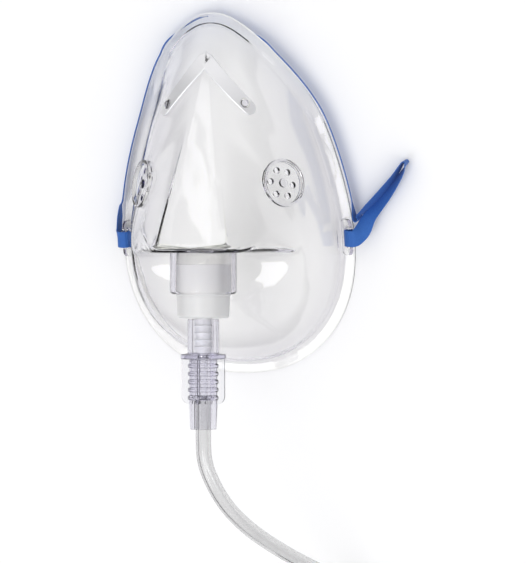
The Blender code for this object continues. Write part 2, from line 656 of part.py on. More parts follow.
def strap_path():
    """The strap's middle line with the direction of its width: through the right ear's slot and over its bar,
    out and back in a long fold, round the nose on edge, over the left ear and through its slot."""
    along, upright, edge = Vector((0, 1, 0)), Vector((0, 0, 1)), Vector(STRAP_LEAN).normalized()
    ride = upright * ((STRAP_WIDTH * edge.z + STRAP_THICK * (1 - edge.z)) / 2 + 2 * FLOOR_GAP)
    path = [(ear_point(1, out, up), -along) for out, up in (
        (1.27, -0.17), (1.17, -0.175), (0.9, -0.165), (0.75, -0.02), (0.72, 0.17), (0.78, 0.34), (1.0, 0.4),
        (1.27, 0.34), (1.5, 0.18))]
    ahead = Vector((math.cos(FOLD_HEADING), math.sin(FOLD_HEADING), 0))
    aside = Vector((ahead.y, -ahead.x, 0))
    foot = Vector((RIM_HALF_WIDTH + FOLD_SET_OUT, EAR_Y + STRAP_WIDTH / 4, 0))
    # share of the fold's length, aside and up in strap widths, lean, and how far the band has turned on edge
    for share, off, up, lean, turn in (
        (-0.017, 0.19, 1.28, 0.0, 0.0), (0.078, 0.4, 1.0, 0.6, 0.3), (0.217, 0.48, 0.63, 1.0, 0.75),
        (0.364, 0.445, 0.46, 0.966, 1.0), (0.525, 0.4, 0.48, 0.78, 1.0), (0.716, 0.327, 0.51, 0.53, 1.0),
        (0.87, 0.238, 0.53, 0.28, 1.0), (0.94, 0.155, 0.52, 0.12, 1.0), (0.975, 0.108, 0.52, 0.0, 1.0),
        (0.992, 0.06, 0.52, 0.0, 1.0), (0.998, -0.017, 0.52, 0.0, 1.0), (0.992, -0.09, 0.52, 0.0, 1.0),
        (0.975, -0.14, 0.52, 0.0, 1.0), (0.94, -0.15, 0.52, 0.0, 1.0), (0.806, -0.135, 0.52, -0.05, 1.0),
        (0.644, -0.153, 0.52, -0.12, 1.0), (0.481, -0.195, 0.52, -0.21, 1.0),
        (0.341, -0.255, 0.52, -0.32, 1.0), (0.24, -0.33, 0.52, -0.3, 1.0), (0.17, -0.42, 0.52, -0.1, 1.0),
    ):
        place = foot + ahead * FOLD_LENGTH * share + (aside * off + upright * up) * STRAP_WIDTH
        path.append((place, (-along).lerp((upright + aside * lean).normalized(), turn)))
    right, left = [], []
    for step in range(1, 11):
        at = lip_edge(EAR_Y + (NOSE_Y - EAR_Y) * (0.07 + 0.093 * step))
        under = ride - Vector((edge.x, edge.y, 0)) / edge.z * (at.z - ride.z)
        for side, line in ((1, right), (-1, left)):
            out = (at.x + STRAP_CLEAR) * side if step < 10 else 0
            line.append((Vector((out, at.y, 0)) + under, edge))
    start = Vector((right[0][0].x, foot.y, 0)) + ride
    path += [(start + Vector((out, up, 0)) * STRAP_WIDTH, upright)
             for out, up in ((0.47, 0.87), (0.34, 0.72), (0.2, 0.77), (0.13, 1.03))]
    path += right + left[-2::-1]
    # the way up to the left ear: height over the ear in strap widths, share of the clear distance, up, turn
    for over, clear, up, turn in ((1.95, 0.9, 0.51, -0.3), (1.3, 0.86, 0.51, 0.0), (0.6, 0.8, 0.54, 0.0),
                                  (0.29, 0.7, 0.63, 0.33), (0.08, 0.5, 0.84, 0.67), (0.0, 0.1, 1.13, 1.0)):
        at = lip_edge(EAR_Y + over * STRAP_WIDTH)
        place = Vector((-at.x - clear * STRAP_CLEAR, at.y, up * STRAP_WIDTH))
        spin = turn * math.pi / 2
        wide = Vector((0, math.sin(spin), math.cos(spin))) if turn > 0 else upright.lerp(edge, -2 * turn)
        path.append((place, wide))
    path += [(ear_point(-1, out, up), along) for out, up in (
        (1.33, -0.07), (1.32, 0.22), (1.15, 0.36), (0.93, 0.35), (0.77, 0.29), (0.7, 0.12), (0.68, -0.05),
        (0.61, -0.14), (0.46, -0.15), (0.3, -0.15))]
    return path


def make_strap(finish):
    """The flat elastic strap: looped round each ear's outer bar, folded beside the right ear and laid on
    its edge round the nose."""
    path = strap_path()
    dense = []
    for k in range(len(path) - 1):
        quad = [path[max(k - 1, 0)], path[k], path[k + 1], path[min(k + 2, len(path) - 1)]]
        for i in range(12):
            t = i / 12
            mix = [0.5 * (-t + 2 * t * t - t ** 3), 0.5 * (2 - 5 * t * t + 3 * t ** 3),
                   0.5 * (t + 4 * t * t - 3 * t ** 3), 0.5 * (-t * t + t ** 3)]
            p = sum((m * q[0] for m, q in zip(mix, quad)), Vector())
            w = path[k][1].lerp(path[k + 1][1], t)
            dense.append((*p, *w))
    dense.append((*path[-1][0], *path[-1][1]))
    lengths = [0.0]
    for a, b in zip(dense, dense[1:]):
        lengths.append(lengths[-1] + math.dist(a[:3], b[:3]))
    bm = bmesh.new()
    rows, kept = [], [0]
    for k in range(1, len(dense)):
        bend = tangent(dense, k).angle(tangent(dense, kept[-1]), 0.0)
        if lengths[k] - lengths[kept[-1]] > STRAP_STEP or bend > math.radians(14):
            kept.append(k)
    kept[-1] = len(dense) - 1
    for k in kept:
        point, heading = Vector(dense[k][:3]), tangent(dense, k)
        wide = Vector(dense[k][3:])
        wide = (wide - heading * wide.dot(heading)).normalized()
        thick = heading.cross(wide)
        rows.append([bm.verts.new(point + wide * a * STRAP_WIDTH / 2 + thick * b * STRAP_THICK / 2)
                     for a, b in ((-1, -1), (1, -1), (1, 1), (-1, 1))])
    for a, b in zip(rows, rows[1:]):
        for i in range(4):
            j = (i + 1) % 4
            bm.faces.new((a[i], a[j], b[j], b[i]))
    bm.faces.new(rows[0])
    bm.faces.new(list(reversed(rows[-1])))
    return new_object("head_strap", bm, finish)


def tangent(line, k):
    a, b = line[max(k - 1, 0)], line[min(k + 1, len(line) - 1)]
    return (Vector(b[:3]) - Vector(a[:3])).normalized()


def main():
    for obj in list(bpy.data.objects):
        bpy.data.objects.remove(obj)
    clear = plain_material("clear_vinyl", (0.9, 0.92, 0.95), 0.08, 0.35)
    metal = plain_material("aluminium", (0.75, 0.75, 0.76), 0.3, 1.0, 1.0)
    white = plain_material("white_polypropylene", (0.9, 0.9, 0.88), 0.35)
    blue_tint = plain_material("blue_tint_vinyl", (0.6, 0.6, 0.85), 0.15, 0.6)
    elastic = plain_material("blue_elastic", (0.03, 0.11, 0.4), 0.75)
    outside = make_shell(clear)
    make_clip(outside, metal)
    make_adapter(white)
    make_connector(blue_tint)
    make_tube(clear, blue_tint)
    make_strap(elastic)


main()
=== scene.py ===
# %% [markdown]
# # A clear oxygen mask
#
# The mask is one soft vinyl moulding: a thin dome with a flat sealing lip, a shelf that carries the inlet
# collar, two vents and two strap ears. A bent aluminium strip lies over the nose. A white cup is pressed
# into the collar, and a soft ribbed connector joins it to 2.1 m of clear tube.
#
# This file loads the measured solids as a frame, and then gives each piece its fine form and its finish.

# %% Load the frame
import bpy
import bmesh
import math
from mathutils import Matrix, Vector
from mathutils.bvhtree import BVHTree


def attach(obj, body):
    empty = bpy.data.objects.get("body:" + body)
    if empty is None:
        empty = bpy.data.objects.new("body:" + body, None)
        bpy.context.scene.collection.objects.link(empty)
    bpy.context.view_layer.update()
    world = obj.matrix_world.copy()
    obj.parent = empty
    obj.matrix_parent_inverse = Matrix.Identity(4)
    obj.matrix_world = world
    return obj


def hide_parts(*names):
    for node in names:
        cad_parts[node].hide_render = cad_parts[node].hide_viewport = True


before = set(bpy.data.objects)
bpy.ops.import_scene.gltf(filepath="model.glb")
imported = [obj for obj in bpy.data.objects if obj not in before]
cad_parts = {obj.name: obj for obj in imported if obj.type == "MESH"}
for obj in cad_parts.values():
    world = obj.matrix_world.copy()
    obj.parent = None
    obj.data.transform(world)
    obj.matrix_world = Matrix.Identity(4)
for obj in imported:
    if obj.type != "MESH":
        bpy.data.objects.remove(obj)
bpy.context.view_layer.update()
MM = 0.001
scene = bpy.context.scene


def add_object(name, data):
    """A new object in the scene."""
    made = bpy.data.objects.new(name, data)
    scene.collection.objects.link(made)
    return made


print("solids:", ", ".join(sorted(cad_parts)))

# %% [markdown]
# ## Camera
#
# A long lens from well back keeps near and far parts at their sizes. The camera has the collar's tilt, so
# the collar points straight down the picture, and it stands a little to the right of the mask's middle,
# which shows one vent from the front and the other from the side.

# %% Camera
INLET_TILT = math.radians(10.5)
CAMERA_SWING = math.radians(17)
LENS_MM = 260.0
SENSOR_MM = 36.0
VIEW_HEIGHT = 204.0 * MM
VIEW_RIGHT = 8.5 * MM
VIEW_UP = -10.0 * MM
SHELF_SHIFT_Y = 41.8 * MM

lay_down = Matrix.Rotation(-INLET_TILT, 4, "X")
camera_right = lay_down @ Vector((math.cos(CAMERA_SWING), 0, -math.sin(CAMERA_SWING)))
camera_up = lay_down @ Vector((0, 1, 0))
camera_back = camera_right.cross(camera_up)
aim = Vector((0, SHELF_SHIFT_Y, 0)) + camera_right * VIEW_RIGHT + camera_up * VIEW_UP
distance = VIEW_HEIGHT * LENS_MM / SENSOR_MM

camera = add_object("camera", bpy.data.cameras.new("camera"))
camera.data.lens = LENS_MM
camera.data.sensor_width = SENSOR_MM
camera.matrix_world = Matrix((camera_right, camera_up, camera_back)).transposed().to_4x4()
camera.location = aim + camera_back * distance
scene.camera = camera
looks_down = math.degrees(math.asin(camera_back.z))
print("camera", round(distance, 3), "m away, looking down at", round(looks_down), "deg")

# %% [markdown]
# ## Node trees
#
# Each finish, the room's light and the trees that repeat a shape are graphs of nodes. One function builds
# them all from a list of nodes, their values and their links, so a finish reads as a recipe. Most finishes
# share one part: a noise on Object coordinates that raises and lowers the surface.

# %% Node tree helpers
SHADER, OUT = "Principled BSDF", "Material Output"
NOISE = {"place": "ShaderNodeTexCoord", "noise": "ShaderNodeTexNoise", "bump": "ShaderNodeBump"}
NOISE_LINKS = [("place", "Object", "noise", "Vector"), ("noise", "Fac", "bump", "Height"),
               ("bump", "Normal", SHADER, "Normal")]


def add_nodes(tree, kinds, values, links):
    """Adds the nodes of kinds under short names. In values, a key in small letters is a node's setting, and
    any other is an input. A link names a node and its output, then a node and its input."""
    made = {node.name: node for node in tree.nodes}
    made.update({name: tree.nodes.new(kind) for name, kind in kinds.items()})
    for name, given in values.items():
        for key, value in given.items():
            if str(key).islower():
                setattr(made[name], key, value)
            else:
                made[name].inputs[key].default_value = value
    for source, output, target, entry in links:
        tree.links.new(made[source].outputs[output], made[target].inputs[entry])


def new_material(name, kinds, values, links):
    """A material with one Principled shader and the nodes given, as add_nodes takes them."""
    made = bpy.data.materials.new(name)
    made.use_nodes = True
    add_nodes(made.node_tree, kinds, values, links)
    return made


def set_ramp(tree, stops):
    """Gives the colour ramp in a tree its two stops, each a position and a colour."""
    ramp = next(node.color_ramp for node in tree.nodes if node.bl_idname == "ShaderNodeValToRGB")
    for element, (position, colour) in zip(ramp.elements, stops):
        element.position, element.color = position, colour
    return ramp


print("node helpers ready")

# %% [markdown]
# ## Floor and light
#
# Clear plastic shows only what it mirrors and bends, so the room around it is part of its finish. The floor's
# colour is a painted pool of light: white under the mask, fading further out to painted shade where the light
# would fall off. The room is white overhead and dark along the horizon. Sight that goes straight through the
# plastic meets the white, and sight that an edge bends far to the side meets the dark, which draws the thin
# lines by which clear plastic is seen.

# %% Floor and light
FLOOR_SIZE = 6.0
FLOOR_DROP = 0.3 * MM
# the floor's colour is a painted pool of light: white within the first radius, fading to painted shade by the
# second
POOL_LIT_COLOUR = (0.93, 0.93, 0.93, 1)
POOL_PAINTED_SHADE_COLOUR = (0.07, 0.068, 0.08, 1)
POOL_LIT_RADIUS = 0.165
POOL_SHADE_RADIUS = 0.30
ROOM_TOP = (0.99, 0.99, 1.0, 1)
ROOM_SIDE = (0.03, 0.028, 0.04, 1)
ROOM_STRENGTH = 0.94
ROOM_DARK_TO = 0.12
ROOM_WHITE_FROM = 0.42

floor_mesh = bpy.data.meshes.new("floor")
half = FLOOR_SIZE / 2
corners = [(x * half, y * half, -FLOOR_DROP) for x, y in ((-1, -1), (1, -1), (1, 1), (-1, 1))]
floor_mesh.from_pydata(corners, [], [(0, 1, 2, 3)])
floor = add_object("floor", floor_mesh)
# painted pool of light: the floor's colour darkens with distance from the aim, as painted shade where the
# light would fall off
painted_pool_finish = new_material(
    "floor_painted_light_pool",
    {"spot": "ShaderNodeTexCoord", "reach": "ShaderNodeVectorMath", "shade": "ShaderNodeValToRGB"},
    {SHADER: {"Roughness": 0.9, "Specular IOR Level": 0.1},
     "reach": {"operation": "DISTANCE", 1: (aim.x, aim.y, 0)}},
    [("spot", "Object", "reach", 0), ("reach", "Value", "shade", "Fac"),
     ("shade", "Color", SHADER, "Base Color")])
fade = set_ramp(painted_pool_finish.node_tree, ((POOL_LIT_RADIUS, POOL_LIT_COLOUR), (POOL_SHADE_RADIUS, POOL_PAINTED_SHADE_COLOUR)))
fade.interpolation = "EASE"
floor_mesh.materials.append(painted_pool_finish)

world = bpy.data.worlds.new("studio")
scene.world = world
world.use_nodes = True
add_nodes(world.node_tree,
          {"where": "ShaderNodeTexCoord", "split": "ShaderNodeSeparateXYZ", "band": "ShaderNodeValToRGB"},
          {"Background": {"Strength": ROOM_STRENGTH}},
          [("where", "Generated", "split", 0), ("split", "Z", "band", "Fac"),
           ("band", "Color", "Background", "Color")])
set_ramp(world.node_tree, ((ROOM_DARK_TO, ROOM_SIDE), (ROOM_WHITE_FROM, ROOM_TOP)))


def softbox(name, place, aim_at, width, height, watts):
    """A soft rectangular studio light at place, turned to aim_at."""
    lamp = bpy.data.lights.new(name, "AREA")
    lamp.shape, lamp.size, lamp.size_y, lamp.energy = "RECTANGLE", width, height, watts
    made = add_object(name, lamp)
    made.location = place
    made.rotation_euler = (Vector(aim_at) - Vector(place)).to_track_quat("-Z", "Y").to_euler()


softbox("key_softbox", (-0.25, -0.4, 1.35), (0, 0.04, 0), 0.5, 1.1, 5.0)
softbox("strip_softbox", (0.75, -0.15, 0.9), (0, 0.04, 0.02), 0.16, 0.9, 1.0)
# two narrow windows stand where the flat front panel mirrors them, as soft upright stripes
PANEL_MIDDLE = Vector((0, 0.08, 0.045))
WINDOW_DISTANCE = 1.4
mirrored = Vector((-0.292, 0.604, 0.740)).normalized()
for name, shift, width in (("left_window", -0.014, 0.014), ("right_window", 0.014, 0.018)):
    place = PANEL_MIDDLE + mirrored * WINDOW_DISTANCE + Vector((shift, 0, 0))
    softbox(name, place, PANEL_MIDDLE, width, 0.5, 0.05)
scene.view_settings.view_transform = "Standard"

# %% [markdown]
# ## Helpers for meshes
#
# Every piece here is built by code, so a few small tools are shared: one that turns a bmesh into a named
# object, one that turns a profile about an axis, and one that runs Blender's Boolean and keeps its result.

# %% Mesh helpers
SMOOTH_ANGLE = math.radians(38)
WELD = 0.002 * MM
POLE_WELD = 1e-7
CORNER_SHARE = 0.45
NEARLY_STRAIGHT = math.radians(165)


def shade(mesh):
    """Smooth shading below the angle."""
    mesh.shade_smooth()
    mesh.set_sharp_from_angle(angle=SMOOTH_ANGLE)


def new_piece(name, bm, finish):
    """A named object from a bmesh, with outward faces and smooth shading below the angle."""
    mesh = bpy.data.meshes.new(name)
    bm.normal_update()
    bmesh.ops.recalc_face_normals(bm, faces=bm.faces)
    bm.to_mesh(mesh)
    bm.free()
    mesh.materials.append(finish)
    shade(mesh)
    return add_object(name, mesh)


def frame_at(point, direction, across=Vector((1, 0, 0))):
    """A matrix with its Z along direction at point, and its X as near to across as it can be."""
    z = direction.normalized()
    x = (across - z * across.dot(z)).normalized()
    made = Matrix((x, z.cross(x), z)).transposed().to_4x4()
    made.translation = point
    return made


def skin(bm, rows):
    """Faces from each closed row of points to the next."""
    for a, b in zip(rows, rows[1:]):
        for i in range(len(a)):
            j = (i + 1) % len(a)
            bm.faces.new((a[i], a[j], b[j], b[i]))


def swept(rows):
    """A bmesh through closed rows of positions, with a face over each end."""
    bm = bmesh.new()
    rows = [[bm.verts.new(p) for p in row] for row in rows]
    skin(bm, rows)
    bm.faces.new(rows[0])
    bm.faces.new(list(reversed(rows[-1])))
    return bm


def turned(profile, matrix, segments):
    """A closed profile of (radius, length) points, turned about the matrix's Z."""
    bm = bmesh.new()
    rows = []
    for k in range(segments):
        a = 2 * math.pi * k / segments
        c, s = math.cos(a), math.sin(a)
        rows.append([bm.verts.new(matrix @ Vector((r * c, r * s, l))) for r, l in profile])
    skin(bm, rows + rows[:1])
    bmesh.ops.remove_doubles(bm, verts=bm.verts, dist=POLE_WELD)
    return bm


def rounded(points, radius, steps=3):
    """The same closed profile with its corners rounded, each by radius or by what its sides allow."""
    out = []
    for i, p in enumerate(points):
        here = Vector(p)
        back, on = Vector(points[i - 1]) - here, Vector(points[(i + 1) % len(points)]) - here
        reach = min(radius, CORNER_SHARE * back.length, CORNER_SHARE * on.length)
        if here.x == 0 or min(back.length, on.length) < POLE_WELD or back.angle(on) > NEARLY_STRAIGHT:
            out.append(tuple(here))
            continue
        a, b = here + back.normalized() * reach, here + on.normalized() * reach
        for s in range(steps + 1):
            t = s / steps
            out.append(tuple(a * (1 - t) ** 2 + here * 2 * t * (1 - t) + b * t ** 2))
    return out


def ring_section(outer, inner, low, high, soft):
    """The profile of a ring, or of a disc where inner is 0, with its corners rounded."""
    return rounded([(outer, low), (outer, high), (inner, high), (inner, low)], soft)


def slab(outline, low, high, matrix):
    """A flat outline in the matrix's XY, drawn out along its Z."""
    return swept([[matrix @ Vector((x, y, z)) for x, y in outline] for z in (low, high)])


def rounded_outline(x0, x1, half_height, radius, steps=6):
    """A rectangle from x0 to x1 and half_height each way in Y, with rounded corners."""
    points = []
    for cx, cy, start in ((x1 - radius, half_height - radius, 0), (x0 + radius, half_height - radius, 90),
                          (x0 + radius, radius - half_height, 180), (x1 - radius, radius - half_height, 270)):
        for k in range(steps + 1):
            a = math.radians(start + 90 * k / steps)
            points.append((cx + radius * math.cos(a), cy + radius * math.sin(a)))
    return points


def settle(piece):
    """Applies the piece's modifiers by taking its evaluated mesh."""
    bpy.context.view_layer.update()
    done = bpy.data.meshes.new_from_object(piece.evaluated_get(bpy.context.evaluated_depsgraph_get()))
    piece.modifiers.clear()
    piece.data = done


def add_or_cut(piece, parts, operation):
    """Joins the bmeshes in parts into one tool, and adds it to the piece or cuts it away."""
    whole = bpy.data.meshes.new("tool")
    joined = bmesh.new()
    for bm in parts:
        bm.normal_update()
        bmesh.ops.recalc_face_normals(bm, faces=bm.faces)
        bm.to_mesh(whole)
        joined.from_mesh(whole)
        bm.free()
    joined.to_mesh(whole)
    joined.free()
    whole.materials.append(piece.data.materials[0])
    tool = add_object("tool", whole)
    step = piece.modifiers.new("tool", "BOOLEAN")
    step.operation = operation
    step.object = tool
    settle(piece)
    bpy.data.objects.remove(tool)
    bm = bmesh.new()
    bm.from_mesh(piece.data)
    bmesh.ops.remove_doubles(bm, verts=bm.verts, dist=WELD)
    bmesh.ops.dissolve_degenerate(bm, edges=bm.edges, dist=WELD)
    bmesh.ops.delete(bm, geom=[e for e in bm.edges if not e.link_faces], context="EDGES")
    open_edges = sum(len(e.link_faces) != 2 for e in bm.edges)
    print(piece.name, operation, "edges without two faces:", open_edges)
    bm.to_mesh(piece.data)
    bm.free()


def smooth_piece(piece):
    """Smooth shading below the angle, with flat faces kept flat where a Boolean has cut them."""
    shade(piece.data)
    even = piece.modifiers.new("even", "WEIGHTED_NORMAL")
    even.keep_sharp = True
    settle(piece)


print("helpers ready")

# %% [markdown]
# Ribs, fins and breathing holes all repeat one small shape. A Geometry Nodes tree does that: it takes the
# shape, a count, a step along the axis and a turn for each copy, and gives back real mesh. The same tree
# makes a row (a step and no turn) and a ring of copies (a turn and no step).

# %% A tree that repeats a shape
COPIES = {"given": "NodeGroupInput", "result": "NodeGroupOutput", "spin": "FunctionNodeEulerToRotation",
          "copies": "GeometryNodeInstanceOnPoints", "real": "GeometryNodeRealizeInstances",
          "paint": "GeometryNodeSetMaterial"}
COPY_LINKS = [("spin", 0, "copies", "Rotation"), ("copies", 0, "real", 0), ("real", 0, "paint", "Geometry"),
              ("given", "Finish", "paint", "Material"), ("paint", 0, "result", 0)]


def new_tree(name, takes, kinds, values, links):
    """A tree that puts copies on points and makes them real mesh. takes names its inputs and their kinds."""
    tree = bpy.data.node_groups.new(name, "GeometryNodeTree")
    for entry, kind in takes.items():
        tree.interface.new_socket(entry, in_out="INPUT", socket_type="NodeSocket" + kind)
    tree.interface.new_socket("Mesh", in_out="OUTPUT", socket_type="NodeSocketGeometry")
    add_nodes(tree, {**COPIES, **kinds}, values, COPY_LINKS + links)
    return tree


REPEAT = new_tree(
    "repeat_shape",
    {"Shape": "Geometry", "Count": "Int", "Step": "Float", "Turn": "Float", "Finish": "Material"},
    {"line": "GeometryNodeMeshLine", "offset": "ShaderNodeCombineXYZ", "place": "ShaderNodeCombineXYZ",
     "index": "GeometryNodeInputIndex", "angle": "ShaderNodeMath"},
    {"angle": {"operation": "MULTIPLY"}},
    [("given", "Count", "line", "Count"), ("given", "Step", "offset", "Z"), ("offset", 0, "line", "Offset"),
     ("index", 0, "angle", 0), ("given", "Turn", "angle", 1), ("angle", 0, "place", "Z"),
     ("place", 0, "spin", 0), ("line", "Mesh", "copies", "Points"), ("given", "Shape", "copies", "Instance")])


def run_tree(piece, tree, values):
    """Runs a tree on a piece with its named inputs set first, and keeps the mesh that comes out."""
    step = piece.modifiers.new(tree.name, "NODES")
    step.node_group = tree
    for item in tree.interface.items_tree:
        if item.item_type == "SOCKET" and item.in_out == "INPUT" and item.name in values:
            step[item.identifier] = values[item.name]
    settle(piece)


def repeated(shape, count, step, turn, finish, matrix):
    """The shape's bmesh repeated by the tree and moved by the matrix, as a new bmesh."""
    piece = new_piece("copies", shape, finish)
    run_tree(piece, REPEAT, {"Count": count, "Step": step, "Turn": turn, "Finish": finish})
    bm = bmesh.new()
    bm.from_mesh(piece.data)
    bm.transform(matrix)
    bpy.data.objects.remove(piece)
    return bm


print("tree inputs:", [item.name for item in REPEAT.interface.items_tree if item.in_out == "INPUT"])

# %% [markdown]
# ## Clear vinyl
#
# Soft clear vinyl bends light as glass does, and its faint violet tint shows only where sight runs through
# a lot of it, as at an edge. A colour on the surface would tint the flat parts as much. So the surface is
# almost colourless, and a volume inside the closed wall takes a little light for each millimetre.
#
# Real plastic lets light fall through on the table. So a ray from a lamp meets a plain transparent surface
# and not the bending one, which also keeps the picture free of noise.

# %% Clear vinyl
VINYL_IOR = 1.5


def clear_vinyl(name, tint, roughness, absorbed, density, shadow):
    """Glass-like vinyl: tint on the surface, absorbed and density inside, shadow for rays from lamps."""
    return new_material(
        name,
        {"through": "ShaderNodeBsdfTransparent", "path": "ShaderNodeLightPath", "mix": "ShaderNodeMixShader",
         "inside": "ShaderNodeVolumeAbsorption"},
        {SHADER: {"Base Color": (*tint, 1), "Roughness": roughness, "IOR": VINYL_IOR,
                  "Transmission Weight": 1.0},
         "through": {"Color": (*shadow, 1)}, "inside": {"Color": (*absorbed, 1), "Density": density}},
        [("path", "Is Shadow Ray", "mix", "Fac"), (SHADER, 0, "mix", 1), ("through", 0, "mix", 2),
         ("mix", 0, OUT, "Surface"), ("inside", 0, OUT, "Volume")])


dome_vinyl = clear_vinyl("soft_clear_vinyl", (0.985, 0.99, 0.945), 0.03, (0.42, 0.38, 0.6), 108.0,
                         (0.95, 0.95, 0.945))
connector_vinyl = clear_vinyl("tinted_clear_vinyl", (0.94, 0.94, 0.945), 0.05, (0.46, 0.43, 0.63), 66.0,
                              (0.9, 0.9, 0.92))
hose_vinyl = clear_vinyl("clear_hose_vinyl", (0.94, 0.94, 0.94), 0.04, (0.5, 0.5, 0.5), 230.0,
                         (0.9, 0.9, 0.9))
# the dome's soft wall is a little uneven
add_nodes(dome_vinyl.node_tree, NOISE,
          {"noise": {"Scale": 38.0, "Detail": 1.5}, "bump": {"Distance": 0.16 * MM}}, NOISE_LINKS)
print("vinyls:", dome_vinyl.name, connector_vinyl.name, hose_vinyl.name)

# %% [markdown]
# ## The supply tube
#
# The tube has a fixed length, so its route comes before its skin. It leaves the connector straight, falls
# to the table in one smooth curve and runs off to a coil. Five turns of it lie beside each other, each a
# circle that steps inwards by one pitch near its start, and five more step back out on top of them.

# %% The tube's route
TUBE_DIAMETER = 5.4 * MM
TUBE_LENGTH = 2.1
TUBE_BORE_RADIUS = 1.75 * MM
SEAT_GAP = 0.3 * MM
FLOOR_GAP = 0.1 * MM
INLET_HEIGHT = 42.8 * MM
CONNECTOR_END = 62.1 * MM
TUBE_SEAT = 11.0 * MM
TUBE_ROUTE_MM = [
    (0.3, -21.8, 54.9), (2.6, -30.6, 54.2), (6.6, -40.2, 50.8), (11.9, -49.6, 43.8), (18.5, -59.0, 33.6),
    (26.2, -68.0, 22.4), (35.0, -75.8, 12.6), (45.5, -82.9, 6.2), (57.0, -89.6, 3.4), (68.0, -97.2, 2.85),
    (78.9, -106.6, 2.8), (85.4, -118.6, 2.8), (88.0, -131.0, 2.8),
]
COIL_TURNS_WIDE = 5
TURN_PITCH = TUBE_DIAMETER + 0.1 * MM
COIL_LEAD = 5.2 * MM
LEAD_IN_AND_OUT = 18.7 * MM
TAIL_LENGTH = 28.0 * MM
TAIL_POINTS = 8
PLUG_MOUTH_RADIUS = 6.0 * MM
TURN_POINTS = 48
STEP_SHARE = 0.2

inlet_direction = Vector((0, -math.cos(INLET_TILT), math.sin(INLET_TILT)))
inlet_rise = INLET_HEIGHT * math.cos(INLET_TILT)
inlet_shift = SHELF_SHIFT_Y + INLET_HEIGHT * math.sin(INLET_TILT)
INLET = frame_at(Vector((0, inlet_shift, inlet_rise)), inlet_direction)


def smooth(t):
    """Smooth step from 0 to 1."""
    t = min(max(t, 0.0), 1.0)
    return t * t * (3 - 2 * t)


def through_points(points, steps):
    """A smooth curve through the points, with steps stretches from each to the next."""
    out = []
    for k in range(len(points) - 1):
        before, a, b = points[max(k - 1, 0)], points[k], points[k + 1]
        after = points[min(k + 2, len(points) - 1)]
        for i in range(steps):
            t = i / steps
            out.append(0.5 * (2 * a + (b - before) * t + (2 * before - 5 * a + 4 * b - after) * t * t
                              + (3 * a - before - 3 * b + after) * t ** 3))
    return out + [points[-1]]


def length_of(points):
    return sum((b - a).length for a, b in zip(points, points[1:]))


seat = [INLET @ Vector((0, 0, reach)) for reach in
        (CONNECTOR_END - TUBE_SEAT + SEAT_GAP, CONNECTOR_END - 4 * MM, CONNECTOR_END)]
run = through_points(seat + [Vector(p) * MM for p in TUBE_ROUTE_MM], 8)
turns = 2 * COIL_TURNS_WIDE
turn_radius = (TUBE_LENGTH - length_of(run) - TAIL_LENGTH - LEAD_IN_AND_OUT) / (2 * math.pi * turns)
outermost = turn_radius + TURN_PITCH * (COIL_TURNS_WIDE - 1) / 2
beside = outermost + TUBE_DIAMETER + SEAT_GAP
centre = Vector((run[-1].x - beside, run[-1].y - COIL_LEAD, 0))
low_layer = TUBE_DIAMETER / 2 + FLOOR_GAP
high_layer = low_layer + TURN_PITCH


def coil_points():
    """The coil's centreline: in over the low layer, out over the high one, clockwise from above."""
    radii = [outermost - TURN_PITCH * k for k in range(COIL_TURNS_WIDE)]
    radii = [beside] + radii + radii[::-1]
    out = []
    for turn in range(turns):
        for i in range(TURN_POINTS):
            share = (i + 1) / TURN_POINTS
            radius = radii[turn] + (radii[turn + 1] - radii[turn]) * smooth(share / STEP_SHARE)
            height = low_layer if turn < COIL_TURNS_WIDE else high_layer
            if turn == COIL_TURNS_WIDE:
                height = low_layer + TURN_PITCH * smooth(share / STEP_SHARE)
            if turn == turns - 1:
                radius += (beside - radii[turn + 1]) * smooth((share - 1 + STEP_SHARE) / STEP_SHARE)
            a = -2 * math.pi * share
            out.append(centre + Vector((radius * math.cos(a), radius * math.sin(a), height)))
    return out


def tail_points():
    """From the coil's top straight on, down to the plug on the table."""
    drop = high_layer - (PLUG_MOUTH_RADIUS + FLOOR_GAP)
    out = []
    for k in range(TAIL_POINTS):
        share = k / (TAIL_POINTS - 1)
        down = smooth(share * 2)
        out.append(centre + Vector((beside + 1.5 * MM * down, -TAIL_LENGTH * share - 2 * MM,
                                    high_layer - drop * down)))
    return out


tail = tail_points()
route = run + coil_points() + tail
print("tube", round(length_of(route), 4), "m, coil radius", round(turn_radius / MM, 1), "mm")

# %% [markdown]
# A clear tube shows its bore as a bright line between two darker ones. So the tube is a real tube, with an
# inner wall as well as an outer one: one ring of points for each wall at every step of the route, carried
# along without twisting.

# %% The tube's skin
TUBE_SIDES = 20


def carried_frames(points):
    """One matrix at each point, whose Z follows the line and whose X is carried along without a twist."""
    frames = []
    across = Vector((1, 0, 0))
    for k, p in enumerate(points):
        ahead = (points[min(k + 1, len(points) - 1)] - points[max(k - 1, 0)]).normalized()
        made = frame_at(p, ahead, across)
        across = made.to_3x3().col[0]
        frames.append(made)
    return frames


def hose(points, outer, inner, sides):
    """A closed tube wall along the points."""
    bm = bmesh.new()
    frames = carried_frames(points)
    angles = [2 * math.pi * s / sides for s in range(sides)]
    walls = [[[bm.verts.new(at @ Vector((radius * math.cos(a), radius * math.sin(a), 0))) for a in angles]
              for at in frames] for radius in (outer, inner)]
    for rows in walls + [[wall[end] for wall in walls] for end in (0, -1)]:
        skin(bm, rows)
    return bm


tube_wall = hose(route, TUBE_DIAMETER / 2, TUBE_BORE_RADIUS, TUBE_SIDES)
tube = new_piece("clear_supply_tube", tube_wall, hose_vinyl)
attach(tube, "root")
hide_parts("supply_tube", "supply_tube_coil", "supply_tube_tail")
print("tube mesh:", len(tube.data.polygons), "faces")

# %% [markdown]
# ## The dome
#
# The dome changes smoothly from the egg-shaped rim to the narrow front panel. It is a loft: a stack of
# closed outlines, each with its own height, width and corners, joined by a smooth curve. The upper ones
# share one chin side, which is the flat shelf that carries the collar. The wall is the same surface once
# more, set in along its own normals.

